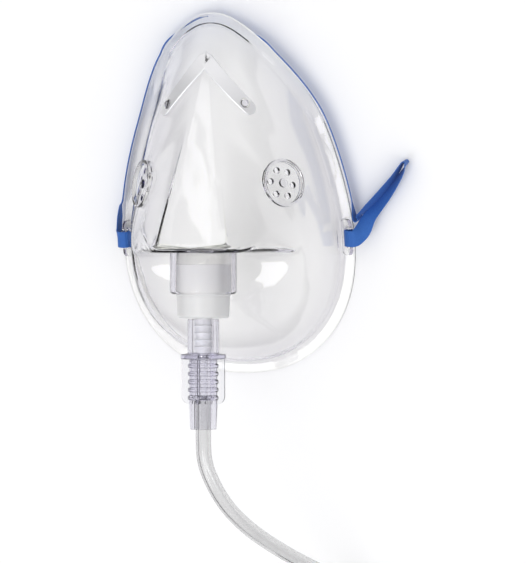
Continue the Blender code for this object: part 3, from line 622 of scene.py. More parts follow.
# %% The dome's sizes
RIM_HALF_WIDTH = 43.8 * MM
CHIN_Y = -2.2 * MM
NOSE_Y = 131.8 * MM
WIDEST_Y = 45.8 * MM
LIP_WIDTH = 4.5 * MM
WALL = 1.2 * MM
NOSE_ARCH = 17.0 * MM
LIP_LIFT = 0.5
# inset as a share of the lip's width, and thickness as a share of the wall: the rim is rounded
LIP_PROFILE = ((0.0, 0.3), (0.012, 0.6), (0.045, 0.88), (0.11, 1.0), (0.25, 1.0), (0.5, 1.0), (0.78, 1.0))
SHOULDER_SHARE = 0.794
RIDGE_SLOPE = 0.4626
RIDGE_HALF_WIDTH = 1.3 * MM
APEX_SETBACK = 14.5 * MM
COLLAR_RADIUS = 11.8 * MM
PANEL_MARGIN = 2.2 * MM
SHELF_MARGIN = 2.8 * MM
FLANK_SOFTNESS = 0.14
FLANK_STEPS = 36
PANEL_STEPS = 8
CHIN_STEPS = 72
LOFT_STEPS = 6
OUTLINE_SAMPLES = 400
PROBE_HEIGHT = 0.2

DOME_HALF_WIDTH = RIM_HALF_WIDTH - LIP_WIDTH
PANEL_HALF_WIDTH = COLLAR_RADIUS + PANEL_MARGIN
SHELF_BASE_Z = inlet_rise - COLLAR_RADIUS - SHELF_MARGIN
RIDGE_TOP_Z = inlet_rise + COLLAR_RADIUS + PANEL_MARGIN
PANEL_APEX_Y = NOSE_Y - APEX_SETBACK
SHELF_SLOPE = math.tan(INLET_TILT)
TIP_Y = SHELF_SHIFT_Y + RIDGE_TOP_Z * SHELF_SLOPE
APEX_Z = RIDGE_TOP_Z - RIDGE_SLOPE * (PANEL_APEX_Y - TIP_Y)


def shelf_y(z):
    """The shelf is square to the inlet's axis, so it leans back as it rises."""
    return SHELF_SHIFT_Y + z * SHELF_SLOPE


def ridge_z(y):
    """Height of the nose ridge: the panel's slope up to the clip, then a steeper run to the rim."""
    if y < PANEL_APEX_Y:
        return RIDGE_TOP_Z - (RIDGE_TOP_Z - APEX_Z) * (y - TIP_Y) / (PANEL_APEX_Y - TIP_Y)
    return APEX_Z - (APEX_Z - NOSE_ARCH) * (y - PANEL_APEX_Y) / (NOSE_Y - PANEL_APEX_Y)


def panel_half(y):
    """Half-width of the front panel, which narrows to the ridge at the clip."""
    share = (PANEL_APEX_Y - y) / (PANEL_APEX_Y - TIP_Y)
    return max(RIDGE_HALF_WIDTH, PANEL_HALF_WIDTH * min(share, 0.97))


def resample(points, count):
    """count + 1 points, evenly spaced along a dense line of points."""
    lengths = [0.0]
    for a, b in zip(points, points[1:]):
        lengths.append(lengths[-1] + math.dist(a, b))
    out, k = [], 0
    for i in range(count + 1):
        want = lengths[-1] * i / count
        while k < len(points) - 2 and lengths[k + 1] < want:
            k += 1
        span = lengths[k + 1] - lengths[k]
        t = (want - lengths[k]) / span if span else 0.0
        out.append(tuple(p + (q - p) * t for p, q in zip(points[k], points[k + 1])))
    return out


def outline(z, half_width, chin_y, square, wide_y, nose_y, pear, lift_from):
    """One closed line round the shell. square sharpens the chin side's corners, pear runs from 0 (straight
    flanks) to 1 (the rim's egg shape), and lift_from is where the line starts to rise to the ridge."""
    top = panel_half(nose_y)
    n, q = 1 + 0.6 * pear, 1 - 0.42 * pear
    dense = [i / OUTLINE_SAMPLES for i in range(OUTLINE_SAMPLES + 1)]
    soft = FLANK_SOFTNESS * (1 - pear)
    eased = [(math.hypot(v, soft) - soft) / (math.hypot(1, soft) - soft) for v in dense]
    flank = [(top + (half_width - top) * (1 - e ** n) ** q, wide_y + (nose_y - wide_y) * v)
             for e, v in zip(eased, dense)]
    right = resample(flank, FLANK_STEPS)
    power = 2 / square
    chin = []
    for t in dense:
        c, s = math.cos(math.pi * t), math.sin(math.pi * t)
        x = -half_width * math.copysign(abs(c) ** power, c)
        chin.append((x, wide_y - (wide_y - chin_y) * max(s, 0.0) ** power))
    chin = resample(chin, CHIN_STEPS)
    panel = [(top * (1 - 2 * i / PANEL_STEPS), nose_y) for i in range(1, PANEL_STEPS)]
    left = [(-x, y) for x, y in reversed(right)]
    ring = []
    for x, y in right + panel + left + chin[1:-1]:
        v = (y - wide_y) / (nose_y - wide_y)
        rise = smooth((v - lift_from) / (1 - lift_from))
        ring.append(Vector((x, y, z + (ridge_z(nose_y) - z) * rise)))
    return ring


print("rim", round(2 * RIM_HALF_WIDTH / MM, 1), "by", round((NOSE_Y - CHIN_Y) / MM, 1), "mm")


# %% The dome's outlines, from its foot to the tip of the panel
def dome_outlines():
    foot_y = CHIN_Y + LIP_WIDTH
    start = NOSE_Y - LIP_WIDTH
    base_y = shelf_y(SHELF_BASE_Z)
    rings = []
    # height, half-width and chin side as shares of their spans, corner, pear, nose side, lift
    for rise, wide, back, square, pear, nose, lift in (
        (0.08, 1.0, 0.0, 2.2, 1.0, 0.0, LIP_LIFT),
        (0.29, 0.977, 0.05, 2.25, 0.97, 0.055, 0.5),
        (0.545, 0.929, 0.175, 2.4, 0.9, 0.115, 0.4),
        (0.76, 0.87, 0.4, 2.7, 0.8, 0.2, 0.32),
        (0.91, 0.83, 0.7, 3.2, 0.7, 0.29, 0.28),
        (1.0, SHOULDER_SHARE, 0.955, 4.5, 0.6, 0.37, 0.25),
    ):
        wide_y = WIDEST_Y + (base_y + 4 * MM - WIDEST_Y) * back
        rings.append(outline(SHELF_BASE_Z * rise, DOME_HALF_WIDTH * wide, foot_y + (base_y - foot_y) * back,
                             square, wide_y, start + (TIP_Y - start) * nose, pear, lift))
    shoulder = DOME_HALF_WIDTH * SHOULDER_SHARE
    # just above the shelf the flanks start further back, so that no outline bulges past the one below it
    for rise, nose in ((0.12, 0.45), (0.44, 0.636), (0.75, 0.82), (0.93, 0.927)):
        z = SHELF_BASE_Z + (RIDGE_TOP_Z - SHELF_BASE_Z) * rise
        nose_y = start + (TIP_Y - start) * nose
        half_width = shoulder + (PANEL_HALF_WIDTH - shoulder) * rise
        wide_y = shelf_y(z) + 0.3 * (nose_y - shelf_y(z)) * (1 - rise * 0.5) * min(1.0, rise * 3)
        rings.append(outline(z, half_width, shelf_y(z), 8.0, wide_y, nose_y, 0.45 * (1 - rise), 0.2))
    z = RIDGE_TOP_Z - 0.5 * MM
    rings.append(outline(z, PANEL_HALF_WIDTH - 1.2 * MM, shelf_y(z) + 1.0 * MM, 6.0,
                         shelf_y(z) + 1.8 * MM, shelf_y(z) + 2.8 * MM, 0.0, 0.2))
    return rings


def loft(rings, steps):
    """Rings between the given ones, on a smooth curve through them."""
    lines = [through_points(list(line), steps) for line in zip(*rings)]
    return [list(ring) for ring in zip(*lines)]


def lip_outlines():
    """The flat sealing lip round the dome's foot, from its outer edge inwards."""
    rings = []
    for inset, share in LIP_PROFILE:
        inset *= LIP_WIDTH
        ring = outline(0.0, RIM_HALF_WIDTH - inset, CHIN_Y + inset, 2.2, WIDEST_Y, NOSE_Y - inset, 1.0,
                       LIP_LIFT)
        rings.append([p + Vector((0, 0, WALL * share)) for p in ring])
    return rings


def dome_wall():
    """The dome and its lip as one closed wall, and the outer surface to place things on."""
    rings = lip_outlines() + loft(dome_outlines(), LOFT_STEPS)
    bm = bmesh.new()
    rows = [[bm.verts.new(p) for p in ring] for ring in rings]
    count = len(rows[0])
    skin(bm, rows)
    crown = bm.verts.new(sum((v.co for v in rows[-1]), Vector()) / count)
    for i in range(count):
        bm.faces.new((rows[-1][i], rows[-1][(i + 1) % count], crown))
    bmesh.ops.recalc_face_normals(bm, faces=bm.faces)
    bm.normal_update()
    outer = BVHTree.FromBMesh(bm)
    lip = {v: share for row, (_, share) in zip(rows, LIP_PROFILE) for v in row}
    inner = {}
    for v in list(bm.verts):
        inset = Vector((0, 0, WALL * lip[v])) if v in lip else v.normal * WALL
        inner[v] = bm.verts.new(v.co - inset)
    for face in list(bm.faces):
        bm.faces.new([inner[v] for v in reversed(face.verts)])
    for i, v in enumerate(rows[0]):
        w = rows[0][(i + 1) % count]
        bm.faces.new((w, v, inner[v], inner[w]))
    return bm, outer


wall, outer_surface = dome_wall()
shell = new_piece("clear_mask_shell", wall, dome_vinyl)
print("dome:", len(shell.data.polygons), "faces")


def surface_frame(x, y):
    """The dome's outer surface under (x, y), as a frame with Z out of the shell and X towards the nose."""
    point, normal, _, _ = outer_surface.ray_cast(Vector((x, y, PROBE_HEIGHT)), Vector((0, 0, -1)))
    if normal.z < 0:
        normal = -normal
    return frame_at(point, normal, Vector((0, 1, 0)))


# %% [markdown]
# ## Collar, ears, vents and posts
#
# The inlet collar, the strap ears, the vent rings and the clip's posts are moulded in one with the dome.
# They are simple shapes first: the ears are flat outlines, and the rest is turned. One Boolean cuts the
# breathing holes, one adds the shapes and one opens the bore and the slots, so that no inner wall is left
# to be seen through the clear plastic.

# %% Collar, ears, vents and posts
COLLAR_BORE = 10.0 * MM
COLLAR_LENGTH = 14.5 * MM
COLLAR_ROOT = 4.0 * MM
VENT_INSET = 13.3 * MM
VENT_X = DOME_HALF_WIDTH - VENT_INSET
VENT_Y = 72.0 * MM
VENT_RADIUS = 8.6 * MM
VENT_RING_WALL = 1.1 * MM
VENT_RING_HEIGHT = 1.3 * MM
VENT_HOLES = 6
VENT_HOLE_RADIUS = 1.2 * MM
VENT_HOLE_CIRCLE = 4.9 * MM
VENT_BOSS_RADIUS = 1.6 * MM
EAR_LENGTH = 7.0 * MM
EAR_HALF_HEIGHT = 6.5 * MM
EAR_THICK = 1.3 * MM
EAR_Y = 48.5 * MM
EAR_SET_OUT = 0.7 * MM
EAR_RISE_RIGHT = math.radians(50)
EAR_RISE_LEFT = math.radians(74)
EAR_BAR = 1.8 * MM
SLOT_HALF_LENGTH = 3.9 * MM
SLOT_WIDTH = 2.4 * MM
SLOT_X = EAR_LENGTH - EAR_BAR - SLOT_WIDTH / 2
CLIP_GAP = 0.45 * MM
CLIP_THICK = 0.8 * MM
CLIP_REACH_X = 16.5 * MM
CLIP_DROP = 19.3 * MM
POST_SHARE = 0.82
POST_RADIUS = 1.1 * MM
POST_HEAD_RADIUS = 1.9 * MM


def ear_frame(side):
    """The soft ear rises outwards beside the dome's foot. X runs out along it, Z leaves its upper face."""
    rise = EAR_RISE_RIGHT if side > 0 else EAR_RISE_LEFT
    out = Vector((side * math.cos(rise), 0, math.sin(rise)))
    up = Vector((-side * math.sin(rise), 0, math.cos(rise)))
    return frame_at(Vector((side * (DOME_HALF_WIDTH + EAR_SET_OUT), EAR_Y, WALL * 0.4)), up, out)


def clip_frame(share):
    """The shell under the clip's middle line, share from -1 at the left end to 1 at the right."""
    return surface_frame(share * CLIP_REACH_X, PANEL_APEX_Y - 1.0 * MM - CLIP_DROP * abs(share))


def hole_rod(radius, low, high, matrix, sides):
    bm = bmesh.new()
    bmesh.ops.create_cone(bm, cap_ends=True, segments=sides, radius1=radius, radius2=radius, depth=high - low,
                          matrix=matrix @ Matrix.Translation((0, 0, (low + high) / 2)))
    return bm


added = [turned(rounded([(COLLAR_RADIUS, -WALL / 2), (COLLAR_RADIUS, COLLAR_LENGTH - 0.8 * MM),
                         (COLLAR_RADIUS - 0.8 * MM, COLLAR_LENGTH), (COLLAR_BORE, COLLAR_LENGTH),
                         (COLLAR_BORE, -WALL / 2)], 0.3 * MM), INLET, 96)]
cut = [hole_rod(COLLAR_BORE, -COLLAR_ROOT, COLLAR_LENGTH + 1 * MM, INLET, 96)]
breathing = []
for side in (-1, 1):
    ear = ear_frame(side)
    added.append(slab(rounded_outline(0, EAR_LENGTH, EAR_HALF_HEIGHT, 2.4 * MM), 0, EAR_THICK, ear))
    slot = rounded_outline(SLOT_X - SLOT_WIDTH / 2, SLOT_X + SLOT_WIDTH / 2, SLOT_HALF_LENGTH, 0.8 * MM, 4)
    cut.append(slab(slot, -2 * MM, EAR_THICK + 3 * MM, ear))
    vent = surface_frame(side * VENT_X, VENT_Y)
    added.append(turned(ring_section(VENT_RADIUS, VENT_RADIUS - VENT_RING_WALL, -0.7 * MM, VENT_RING_HEIGHT,
                                     0.35 * MM), vent, 72))
    added.append(turned(ring_section(VENT_BOSS_RADIUS, 0, -0.6 * MM, 0.9 * MM, 0.3 * MM), vent, 24))
    first = Matrix.Rotation(math.pi / 2 / VENT_HOLES, 4, "Z") @ Matrix.Translation((VENT_HOLE_CIRCLE, 0, 0))
    breathing.append(repeated(hole_rod(VENT_HOLE_RADIUS, -4 * MM, 3 * MM, first, 24), VENT_HOLES, 0.0,
                              2 * math.pi / VENT_HOLES, dome_vinyl, vent))
    neck_top = CLIP_GAP + CLIP_THICK + SEAT_GAP
    added.append(turned([(0, -WALL / 2), (POST_RADIUS, -WALL / 2), (POST_RADIUS, neck_top),
                         (POST_HEAD_RADIUS, neck_top), (POST_HEAD_RADIUS * 0.97, neck_top + 0.35 * MM),
                         (POST_HEAD_RADIUS * 0.7, neck_top + 0.7 * MM), (0, neck_top + 0.8 * MM)],
                        clip_frame(side * POST_SHARE), 32))
add_or_cut(shell, breathing, "DIFFERENCE")
add_or_cut(shell, added, "UNION")
add_or_cut(shell, cut, "DIFFERENCE")
smooth_piece(shell)
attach(shell, "root")
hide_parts("mask_shell")
print("shell:", len(shell.data.polygons), "faces")

# %% [markdown]
# ## The nose clip
#
# The clip is a strip of soft aluminium bent over the ridge. Its middle line follows the dome's surface, a
# little above it. Its ends are rounded, its long edges are broken, and a hole near each end sits round the
# dome's post. Rolled metal has fine scratches, so its roughness and height vary faster one way.

# %% The clip's finish and strip
CLIP_WIDTH = 5.2 * MM
CLIP_STEPS = 72
CLIP_EDGE = 0.22 * MM
CLIP_ROUGHNESS = 0.55
GRAIN = 900.0


def clip_strip():
    """The strip along the dome's surface, with rounded ends and broken edges."""
    frames = [clip_frame(-1 + 2 * k / CLIP_STEPS) for k in range(CLIP_STEPS + 1)]
    places = [at.translation for at in frames]
    half_length = length_of(places) / 2
    rows = []
    gone = 0.0
    for k, at in enumerate(frames):
        gone += (places[k] - places[k - 1]).length if k else 0.0
        from_end = min(gone, 2 * half_length - gone) / (CLIP_WIDTH / 2)
        half_width = CLIP_WIDTH / 2 * math.sqrt(max(0.06, 1 - (1 - min(from_end, 1.0)) ** 2))
        ahead = places[min(k + 1, CLIP_STEPS)] - places[max(k - 1, 0)]
        across = at.to_3x3().col[2].cross(ahead).normalized()
        normal = ahead.cross(across).normalized()
        flat, top = half_width - CLIP_EDGE, CLIP_THICK - CLIP_EDGE
        section = [(-half_width, CLIP_EDGE), (-flat, 0), (flat, 0), (half_width, CLIP_EDGE),
                   (half_width, top), (flat, CLIP_THICK), (-flat, CLIP_THICK), (-half_width, top)]
        rows.append([at.translation + across * x + normal * (CLIP_GAP + h) for x, h in section])
    return swept(rows)


clip_metal = new_material(
    "rolled_aluminium", {**NOISE, "stretch": "ShaderNodeMapping", "spread": "ShaderNodeMapRange"},
    {SHADER: {"Base Color": (0.93, 0.93, 0.94, 1), "Metallic": 1.0},
     "stretch": {"Scale": (GRAIN * 0.03, GRAIN, GRAIN)}, "noise": {"Scale": 1.0, "Detail": 3.0},
     "spread": {"To Min": CLIP_ROUGHNESS * 0.8, "To Max": CLIP_ROUGHNESS * 1.25},
     "bump": {"Distance": 0.01 * MM}},
    [("place", "Object", "stretch", "Vector"), ("stretch", 0, "noise", "Vector"),
     ("noise", "Fac", "spread", "Value"), ("spread", "Result", SHADER, "Roughness")] + NOISE_LINKS[1:])
clip = new_piece("nose_clip_strip", clip_strip(), clip_metal)
add_or_cut(clip, [hole_rod(POST_RADIUS + SEAT_GAP, -2 * MM, 4 * MM, clip_frame(side * POST_SHARE), 32)
                  for side in (-1, 1)], "DIFFERENCE")
smooth_piece(clip)
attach(clip, "root")
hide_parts("nose_clip")
print("clip:", len(clip.data.polygons), "faces")

# %% [markdown]
# ## The inlet adapter
#
# The cup is one profile turned on the inlet's axis: a seat inside the collar, a shoulder, a plain cup and a
# barbed nipple. White polypropylene is a milky plastic: light goes a little way into it and softens its
# shading, which subsurface scattering gives.

# %% The adapter's profile and finish
ADAPTER_TOP = 4.0 * MM
ADAPTER_RADIUS = 9.4 * MM
ADAPTER_END = 23.0 * MM
ADAPTER_WALL = 1.5 * MM
NIPPLE_RADIUS = 3.1 * MM
NIPPLE_BORE = 1.6 * MM
NIPPLE_LENGTH = 12.5 * MM
NIPPLE_BARBS = 4


BARB_HEIGHT = 0.35 * MM

def adapter_profile():
    inner = ADAPTER_RADIUS - ADAPTER_WALL
    seat_radius = COLLAR_BORE - SEAT_GAP
    end = ADAPTER_END + NIPPLE_LENGTH
    pitch = NIPPLE_LENGTH / (NIPPLE_BARBS + 1)
    neck = NIPPLE_RADIUS - 0.3 * MM
    profile = [(seat_radius - 1.5 * MM, ADAPTER_TOP), (seat_radius, ADAPTER_TOP),
               (seat_radius, COLLAR_LENGTH + SEAT_GAP), (ADAPTER_RADIUS, COLLAR_LENGTH + 0.6 * MM),
               (ADAPTER_RADIUS - 0.2 * MM, ADAPTER_END - 0.8 * MM), (ADAPTER_RADIUS - 1.0 * MM, ADAPTER_END),
               (NIPPLE_RADIUS, ADAPTER_END)]
    for k in range(1, NIPPLE_BARBS + 1):
        root = ADAPTER_END + pitch * k
        profile += [(neck, root - 0.2 * MM), (NIPPLE_RADIUS + BARB_HEIGHT, root), (neck, root + 0.8 * MM)]
    cup_floor = ADAPTER_END - ADAPTER_WALL
    profile += [(NIPPLE_RADIUS - 0.5 * MM, end), (NIPPLE_BORE, end), (NIPPLE_BORE, cup_floor),
                (inner, cup_floor - 1 * MM)]
    return profile


white = new_material(
    "milky_polypropylene", NOISE,
    {SHADER: {"Base Color": (0.72, 0.72, 0.72, 1), "Roughness": 0.32, "Subsurface Weight": 0.6,
              "Subsurface Radius": (1.0, 0.95, 0.9), "Subsurface Scale": 1.6 * MM},
     "noise": {"Scale": 1400.0}, "bump": {"Distance": 0.01 * MM}}, NOISE_LINKS)
adapter = new_piece("white_inlet_adapter", turned(rounded(adapter_profile(), 0.35 * MM), INLET, 96), white)
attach(adapter, "root")
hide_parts("inlet_adapter")
print("adapter:", len(adapter.data.polygons), "faces")

# %% [markdown]
# ## The tubing connector
#
# The connector grips the nipple at one end and holds the tube in the other. Its core is turned: a barrel, a
# flange, a grip and a tail. One ring is repeated along the grip, and one fin four times round it. Both are
# joined to the core, because an inner wall left where they meet would be seen through the clear vinyl.

# %% The connector
CONNECTOR_RADIUS = 5.6 * MM
CONNECTOR_MOUTH_BORE = 3.9 * MM
CONNECTOR_BARREL = 12.0 * MM
CONNECTOR_FLANGE_RADIUS = 8.0 * MM
CONNECTOR_FLANGE_THICK = 2.3 * MM
CONNECTOR_SLEEVE = 15.5 * MM
CONNECTOR_TAIL_RADIUS = 4.6 * MM
CONNECTOR_RIB = 0.5 * MM
CONNECTOR_RIBS = 5
RIB_SINK = 0.3 * MM
RIB_TURN = math.radians(1.3)
FIN_THICK = 1.0 * MM
FIN_CORNER = 2.6 * MM
connector_top = ADAPTER_END + SEAT_GAP
flange_low = connector_top + CONNECTOR_BARREL
flange_high = flange_low + CONNECTOR_FLANGE_THICK
sleeve_end = flange_high + CONNECTOR_SLEEVE
core_radius = CONNECTOR_RADIUS - 0.6 * MM
tube_seat_bore = TUBE_DIAMETER / 2 + SEAT_GAP


def connector_core():
    seat_end, nipple_end = CONNECTOR_END - TUBE_SEAT, ADAPTER_END + NIPPLE_LENGTH
    return [(CONNECTOR_MOUTH_BORE, connector_top), (CONNECTOR_RADIUS, connector_top),
            (CONNECTOR_RADIUS, flange_low), (CONNECTOR_FLANGE_RADIUS, flange_low + 0.3 * MM),
            (CONNECTOR_FLANGE_RADIUS, flange_high - 0.3 * MM), (core_radius, flange_high),
            (core_radius, sleeve_end), (CONNECTOR_TAIL_RADIUS, CONNECTOR_END),
            (tube_seat_bore, CONNECTOR_END), (tube_seat_bore, seat_end),
            (TUBE_BORE_RADIUS, seat_end - 0.2 * MM), (TUBE_BORE_RADIUS, nipple_end + 1.2 * MM),
            (CONNECTOR_MOUTH_BORE, nipple_end + 0.6 * MM)]


def rib_ring(radius, half_length):
    """One ring with a rounded crest, its foot sunk into the core."""
    foot = radius - RIB_SINK
    crest = [(radius + CONNECTOR_RIB * math.cos(a), half_length * math.sin(a))
             for a in (math.radians(-90 + 30 * k) for k in range(7))]
    return turned([(foot, -half_length)] + crest + [(foot, half_length)], Matrix(), 96)


def add_rings(piece, ring, count, pitch, axis, start):
    """Joins a row of rings to a core, turned a little so that no edge of theirs lies on one of its own."""
    first = axis @ Matrix.Translation((0, 0, start)) @ Matrix.Rotation(RIB_TURN, 4, "Z")
    add_or_cut(piece, [repeated(ring, count, pitch, 0.0, connector_vinyl, first)], "UNION")


def fin():
    inner, outer = CONNECTOR_RADIUS - 1.4 * MM, CONNECTOR_FLANGE_RADIUS - 0.1 * MM
    points = [(inner, flange_high - 0.5 * MM), (outer, flange_high - 0.5 * MM)]
    for k in range(9):
        a = math.radians(90 * k / 8)
        points.append((outer - FIN_CORNER + FIN_CORNER * math.cos(a),
                       sleeve_end - FIN_CORNER + FIN_CORNER * math.sin(a)))
    points.append((inner, sleeve_end))
    return slab(points, -FIN_THICK / 2, FIN_THICK / 2, Matrix.Rotation(math.pi / 2, 4, "X"))


connector = new_piece("clear_tubing_connector", turned(rounded(connector_core(), 0.4 * MM), INLET, 96),
                      connector_vinyl)
rib_pitch = CONNECTOR_SLEEVE / (CONNECTOR_RIBS + 0.5)
add_rings(connector, rib_ring(core_radius, 0.85 * MM), CONNECTOR_RIBS, rib_pitch, INLET,
          flange_high + 0.75 * rib_pitch)
add_or_cut(connector, [repeated(fin(), 4, 0.0, math.pi / 2, connector_vinyl, INLET)], "UNION")
smooth_piece(connector)
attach(connector, "root")
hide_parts("tubing_connector")
print("connector:", len(connector.data.polygons), "faces")

# %% [markdown]
# ## The supply plug
#
# The plug on the tube's far end is pushed over the gas supply's barb, so its mouth is flared and its body has
# ribs for the fingers. It is made in the same way as the connector: a turned core and one repeated ring.

# %% The plug
PLUG_LENGTH = 36.0 * MM
PLUG_SEAT = 6.0 * MM
PLUG_NECK = 10.0 * MM
PLUG_NECK_RADIUS = 4.0 * MM
PLUG_MOUTH_WALL = 1.4 * MM
PLUG_RIBS = 4
PLUG_RIB_PITCH = 3.4 * MM

plug_heading = Vector((0, -1, 0))
plug_at = frame_at(tail[-1] - plug_heading * (PLUG_SEAT - 2 * SEAT_GAP), plug_heading, Vector((0, 0, 1)))
plug_root = PLUG_MOUTH_RADIUS - 0.8 * MM
plug_core = [(tube_seat_bore, 0), (PLUG_NECK_RADIUS, 0), (PLUG_NECK_RADIUS, PLUG_NECK),
             (plug_root, PLUG_NECK + 4 * MM), (plug_root, PLUG_LENGTH - 5 * MM),
             (PLUG_MOUTH_RADIUS, PLUG_LENGTH - 3 * MM), (PLUG_MOUTH_RADIUS, PLUG_LENGTH),
             (PLUG_MOUTH_RADIUS - PLUG_MOUTH_WALL, PLUG_LENGTH),
             (TUBE_BORE_RADIUS + 1.0 * MM, PLUG_LENGTH - 16 * MM), (TUBE_BORE_RADIUS, PLUG_SEAT + 3 * MM),
             (TUBE_BORE_RADIUS, PLUG_SEAT + SEAT_GAP), (tube_seat_bore, PLUG_SEAT)]
plug = new_piece("clear_supply_plug", turned(rounded(plug_core, 0.4 * MM), plug_at, 72), connector_vinyl)
add_rings(plug, rib_ring(plug_root, 0.9 * MM), PLUG_RIBS, PLUG_RIB_PITCH, plug_at, PLUG_NECK + 6 * MM)
smooth_piece(plug)
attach(plug, "root")
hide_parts("supply_plug")
print("plug:", len(plug.data.polygons), "faces")

# %% [markdown]
# ## The head strap
#
# A flat elastic band is best told by its middle line and the direction of its width at each point. It goes
# through the right ear and over its bar, stands out to the side as a long fold, runs on edge round the nose
# and ends over the left ear. On edge it leans to the right and towards the nose, along the camera's line of
# sight, so only a thin blue line of it shows beside the lip.

# %% The strap's line
STRAP_WIDTH = 6.0 * MM
STRAP_THICK = 0.8 * MM
# the band is drawn thinner than the solid that it stands for
BAND_THICK = 0.38 * MM
STRAP_CLEAR = 1.12 * MM
STRAP_LEAN = (0.31, 0.185, 1.0)
FOLD_SET_OUT = 2.2 * MM
FOLD_LENGTH = 32.0 * MM
FOLD_HEADING = math.radians(53.6)
PATH_STEPS = 12


def ear_point(side, out, up):
    """A point in the ear's own frame, out along it and up from its lower face, in strap widths."""
    return ear_frame(side) @ Vector((out * STRAP_WIDTH, 0, up * STRAP_WIDTH))


def lip_edge(y):
    """The lip's outer edge on the mask's right side, where the mask is at y."""
    v = (y - WIDEST_Y) / (NOSE_Y - WIDEST_Y)
    x = RIDGE_HALF_WIDTH + (RIM_HALF_WIDTH - RIDGE_HALF_WIDTH) * (1 - v ** 1.6) ** 0.58
    return Vector((x, y, WALL / 2 + NOSE_ARCH * smooth((v - LIP_LIFT) / (1 - LIP_LIFT))))


def strap_path():
    along, upright, edge = Vector((0, 1, 0)), Vector((0, 0, 1)), Vector(STRAP_LEAN).normalized()
    ride = upright * ((STRAP_WIDTH * edge.z + STRAP_THICK * (1 - edge.z)) / 2 + 2 * FLOOR_GAP)
    path = [(ear_point(1, out, up), -along) for out, up in (
        (1.27, -0.17), (1.17, -0.175), (0.9, -0.165), (0.75, -0.02), (0.72, 0.17), (0.78, 0.34), (1.0, 0.4),
        (1.27, 0.34), (1.5, 0.18))]
    ahead = Vector((math.cos(FOLD_HEADING), math.sin(FOLD_HEADING), 0))
    aside = Vector((ahead.y, -ahead.x, 0))
    foot = Vector((RIM_HALF_WIDTH + FOLD_SET_OUT, EAR_Y + STRAP_WIDTH / 4, 0))
    # share of the fold's length, aside and up in strap widths, lean, and how far the band has turned on edge
    for share, off, up, lean, turn in (
        (-0.017, 0.17, 1.28, 0.0, 0.0), (0.078, 0.2, 1.0, 0.7, 0.35), (0.217, 0.05, 0.63, 1.4, 0.8),
        (0.364, 0.11, 0.46, 1.0, 1.0), (0.525, 0.18, 0.48, 0.82, 1.0), (0.716, 0.22, 0.51, 0.55, 1.0),
        (0.87, 0.19, 0.53, 0.35, 1.0), (0.94, 0.14, 0.52, 0.16, 1.0), (0.975, 0.1, 0.52, 0.0, 1.0),
        (0.992, 0.06, 0.52, 0.0, 1.0), (0.998, -0.017, 0.52, 0.0, 1.0), (0.992, -0.09, 0.52, 0.0, 1.0),
        (0.975, -0.13, 0.52, 0.0, 1.0), (0.94, -0.13, 0.52, -0.03, 1.0), (0.806, -0.1, 0.52, -0.16, 1.0),
        (0.644, -0.14, 0.52, -0.3, 1.0), (0.481, -0.245, 0.52, -0.34, 1.0),
        (0.341, -0.36, 0.52, -0.34, 1.0), (0.24, -0.45, 0.52, -0.26, 1.0), (0.17, -0.53, 0.52, -0.12, 1.0),
    ):
        place = foot + ahead * FOLD_LENGTH * share + (aside * off + upright * up) * STRAP_WIDTH
        path.append((place, (-along).lerp((upright + aside * lean).normalized(), turn)))
    right, left = [], []
    for step in range(1, 11):
        at = lip_edge(EAR_Y + (NOSE_Y - EAR_Y) * (0.07 + 0.093 * step))
        under = ride - Vector((edge.x, edge.y, 0)) / edge.z * (at.z - ride.z)
        for side, line in ((1, right), (-1, left)):
            out = (at.x + STRAP_CLEAR) * side if step < 10 else 0
            line.append((Vector((out, at.y, 0)) + under, edge))
    start = Vector((right[0][0].x, foot.y, 0)) + ride
    path += [(start + Vector((out, up, 0)) * STRAP_WIDTH, upright)
             for out, up in ((0.47, 0.87), (0.34, 0.72), (0.2, 0.77), (0.13, 1.03))]
    path += right + left[-2::-1]
    # the way up to the left ear: height over the ear in strap widths, share of the clear distance, up, turn
    for over, clear, up, turn in ((1.95, 0.9, 0.51, -0.3), (1.3, 0.86, 0.51, 0.0), (0.6, 0.8, 0.54, 0.0),
                                  (0.29, 0.7, 0.63, 0.33), (0.08, 0.5, 0.84, 0.67), (0.0, 0.1, 1.13, 1.0)):
        at = lip_edge(EAR_Y + over * STRAP_WIDTH)
        place = Vector((-at.x - clear * STRAP_CLEAR, at.y, up * STRAP_WIDTH))
        spin = turn * math.pi / 2
        wide = Vector((0, math.sin(spin), math.cos(spin))) if turn > 0 else upright.lerp(edge, -2 * turn)
        path.append((place, wide))
    path += [(ear_point(-1, out, up), along) for out, up in (
        (1.33, -0.07), (1.32, 0.22), (1.15, 0.36), (0.93, 0.35), (0.77, 0.29), (0.7, 0.12), (0.68, -0.05),
        (0.61, -0.14), (0.46, -0.15), (0.3, -0.15))]
    return path


def strap_frames(step):
    """Frames about one step apart, X across the band, Y through it and Z along it."""
    path = strap_path()
    places = through_points([p for p, w in path], PATH_STEPS)
    wides = [path[k // PATH_STEPS][1].lerp(path[min(k // PATH_STEPS + 1, len(path) - 1)][1],
                                           k % PATH_STEPS / PATH_STEPS) for k in range(len(places))]
    count = round(length_of(places) / step)
    # the widths are made very short, so that the steps are even along the line itself
    both = resample([(*p, *(w * 0.01 * MM)) for p, w in zip(places, wides)], count)
    frames = []
    for k, mixed in enumerate(both):
        ahead = Vector(both[min(k + 1, count)][:3]) - Vector(both[max(k - 1, 0)][:3])
        frames.append(frame_at(Vector(mixed[:3]), ahead, Vector(mixed[3:])))
    return frames


strap_line = [at.translation for at in strap_frames(1 * MM)]
print("strap", round(length_of(strap_line) / MM, 1), "mm along its middle line")

# %% [markdown]
# The band is woven: rubber threads run along it and show as low ridges, and a yarn crosses them from edge to
# edge. The long ridges are in the band's own section. The crossing yarns are repeated by a second tree, which
# reads each yarn's turn from an attribute on its point.

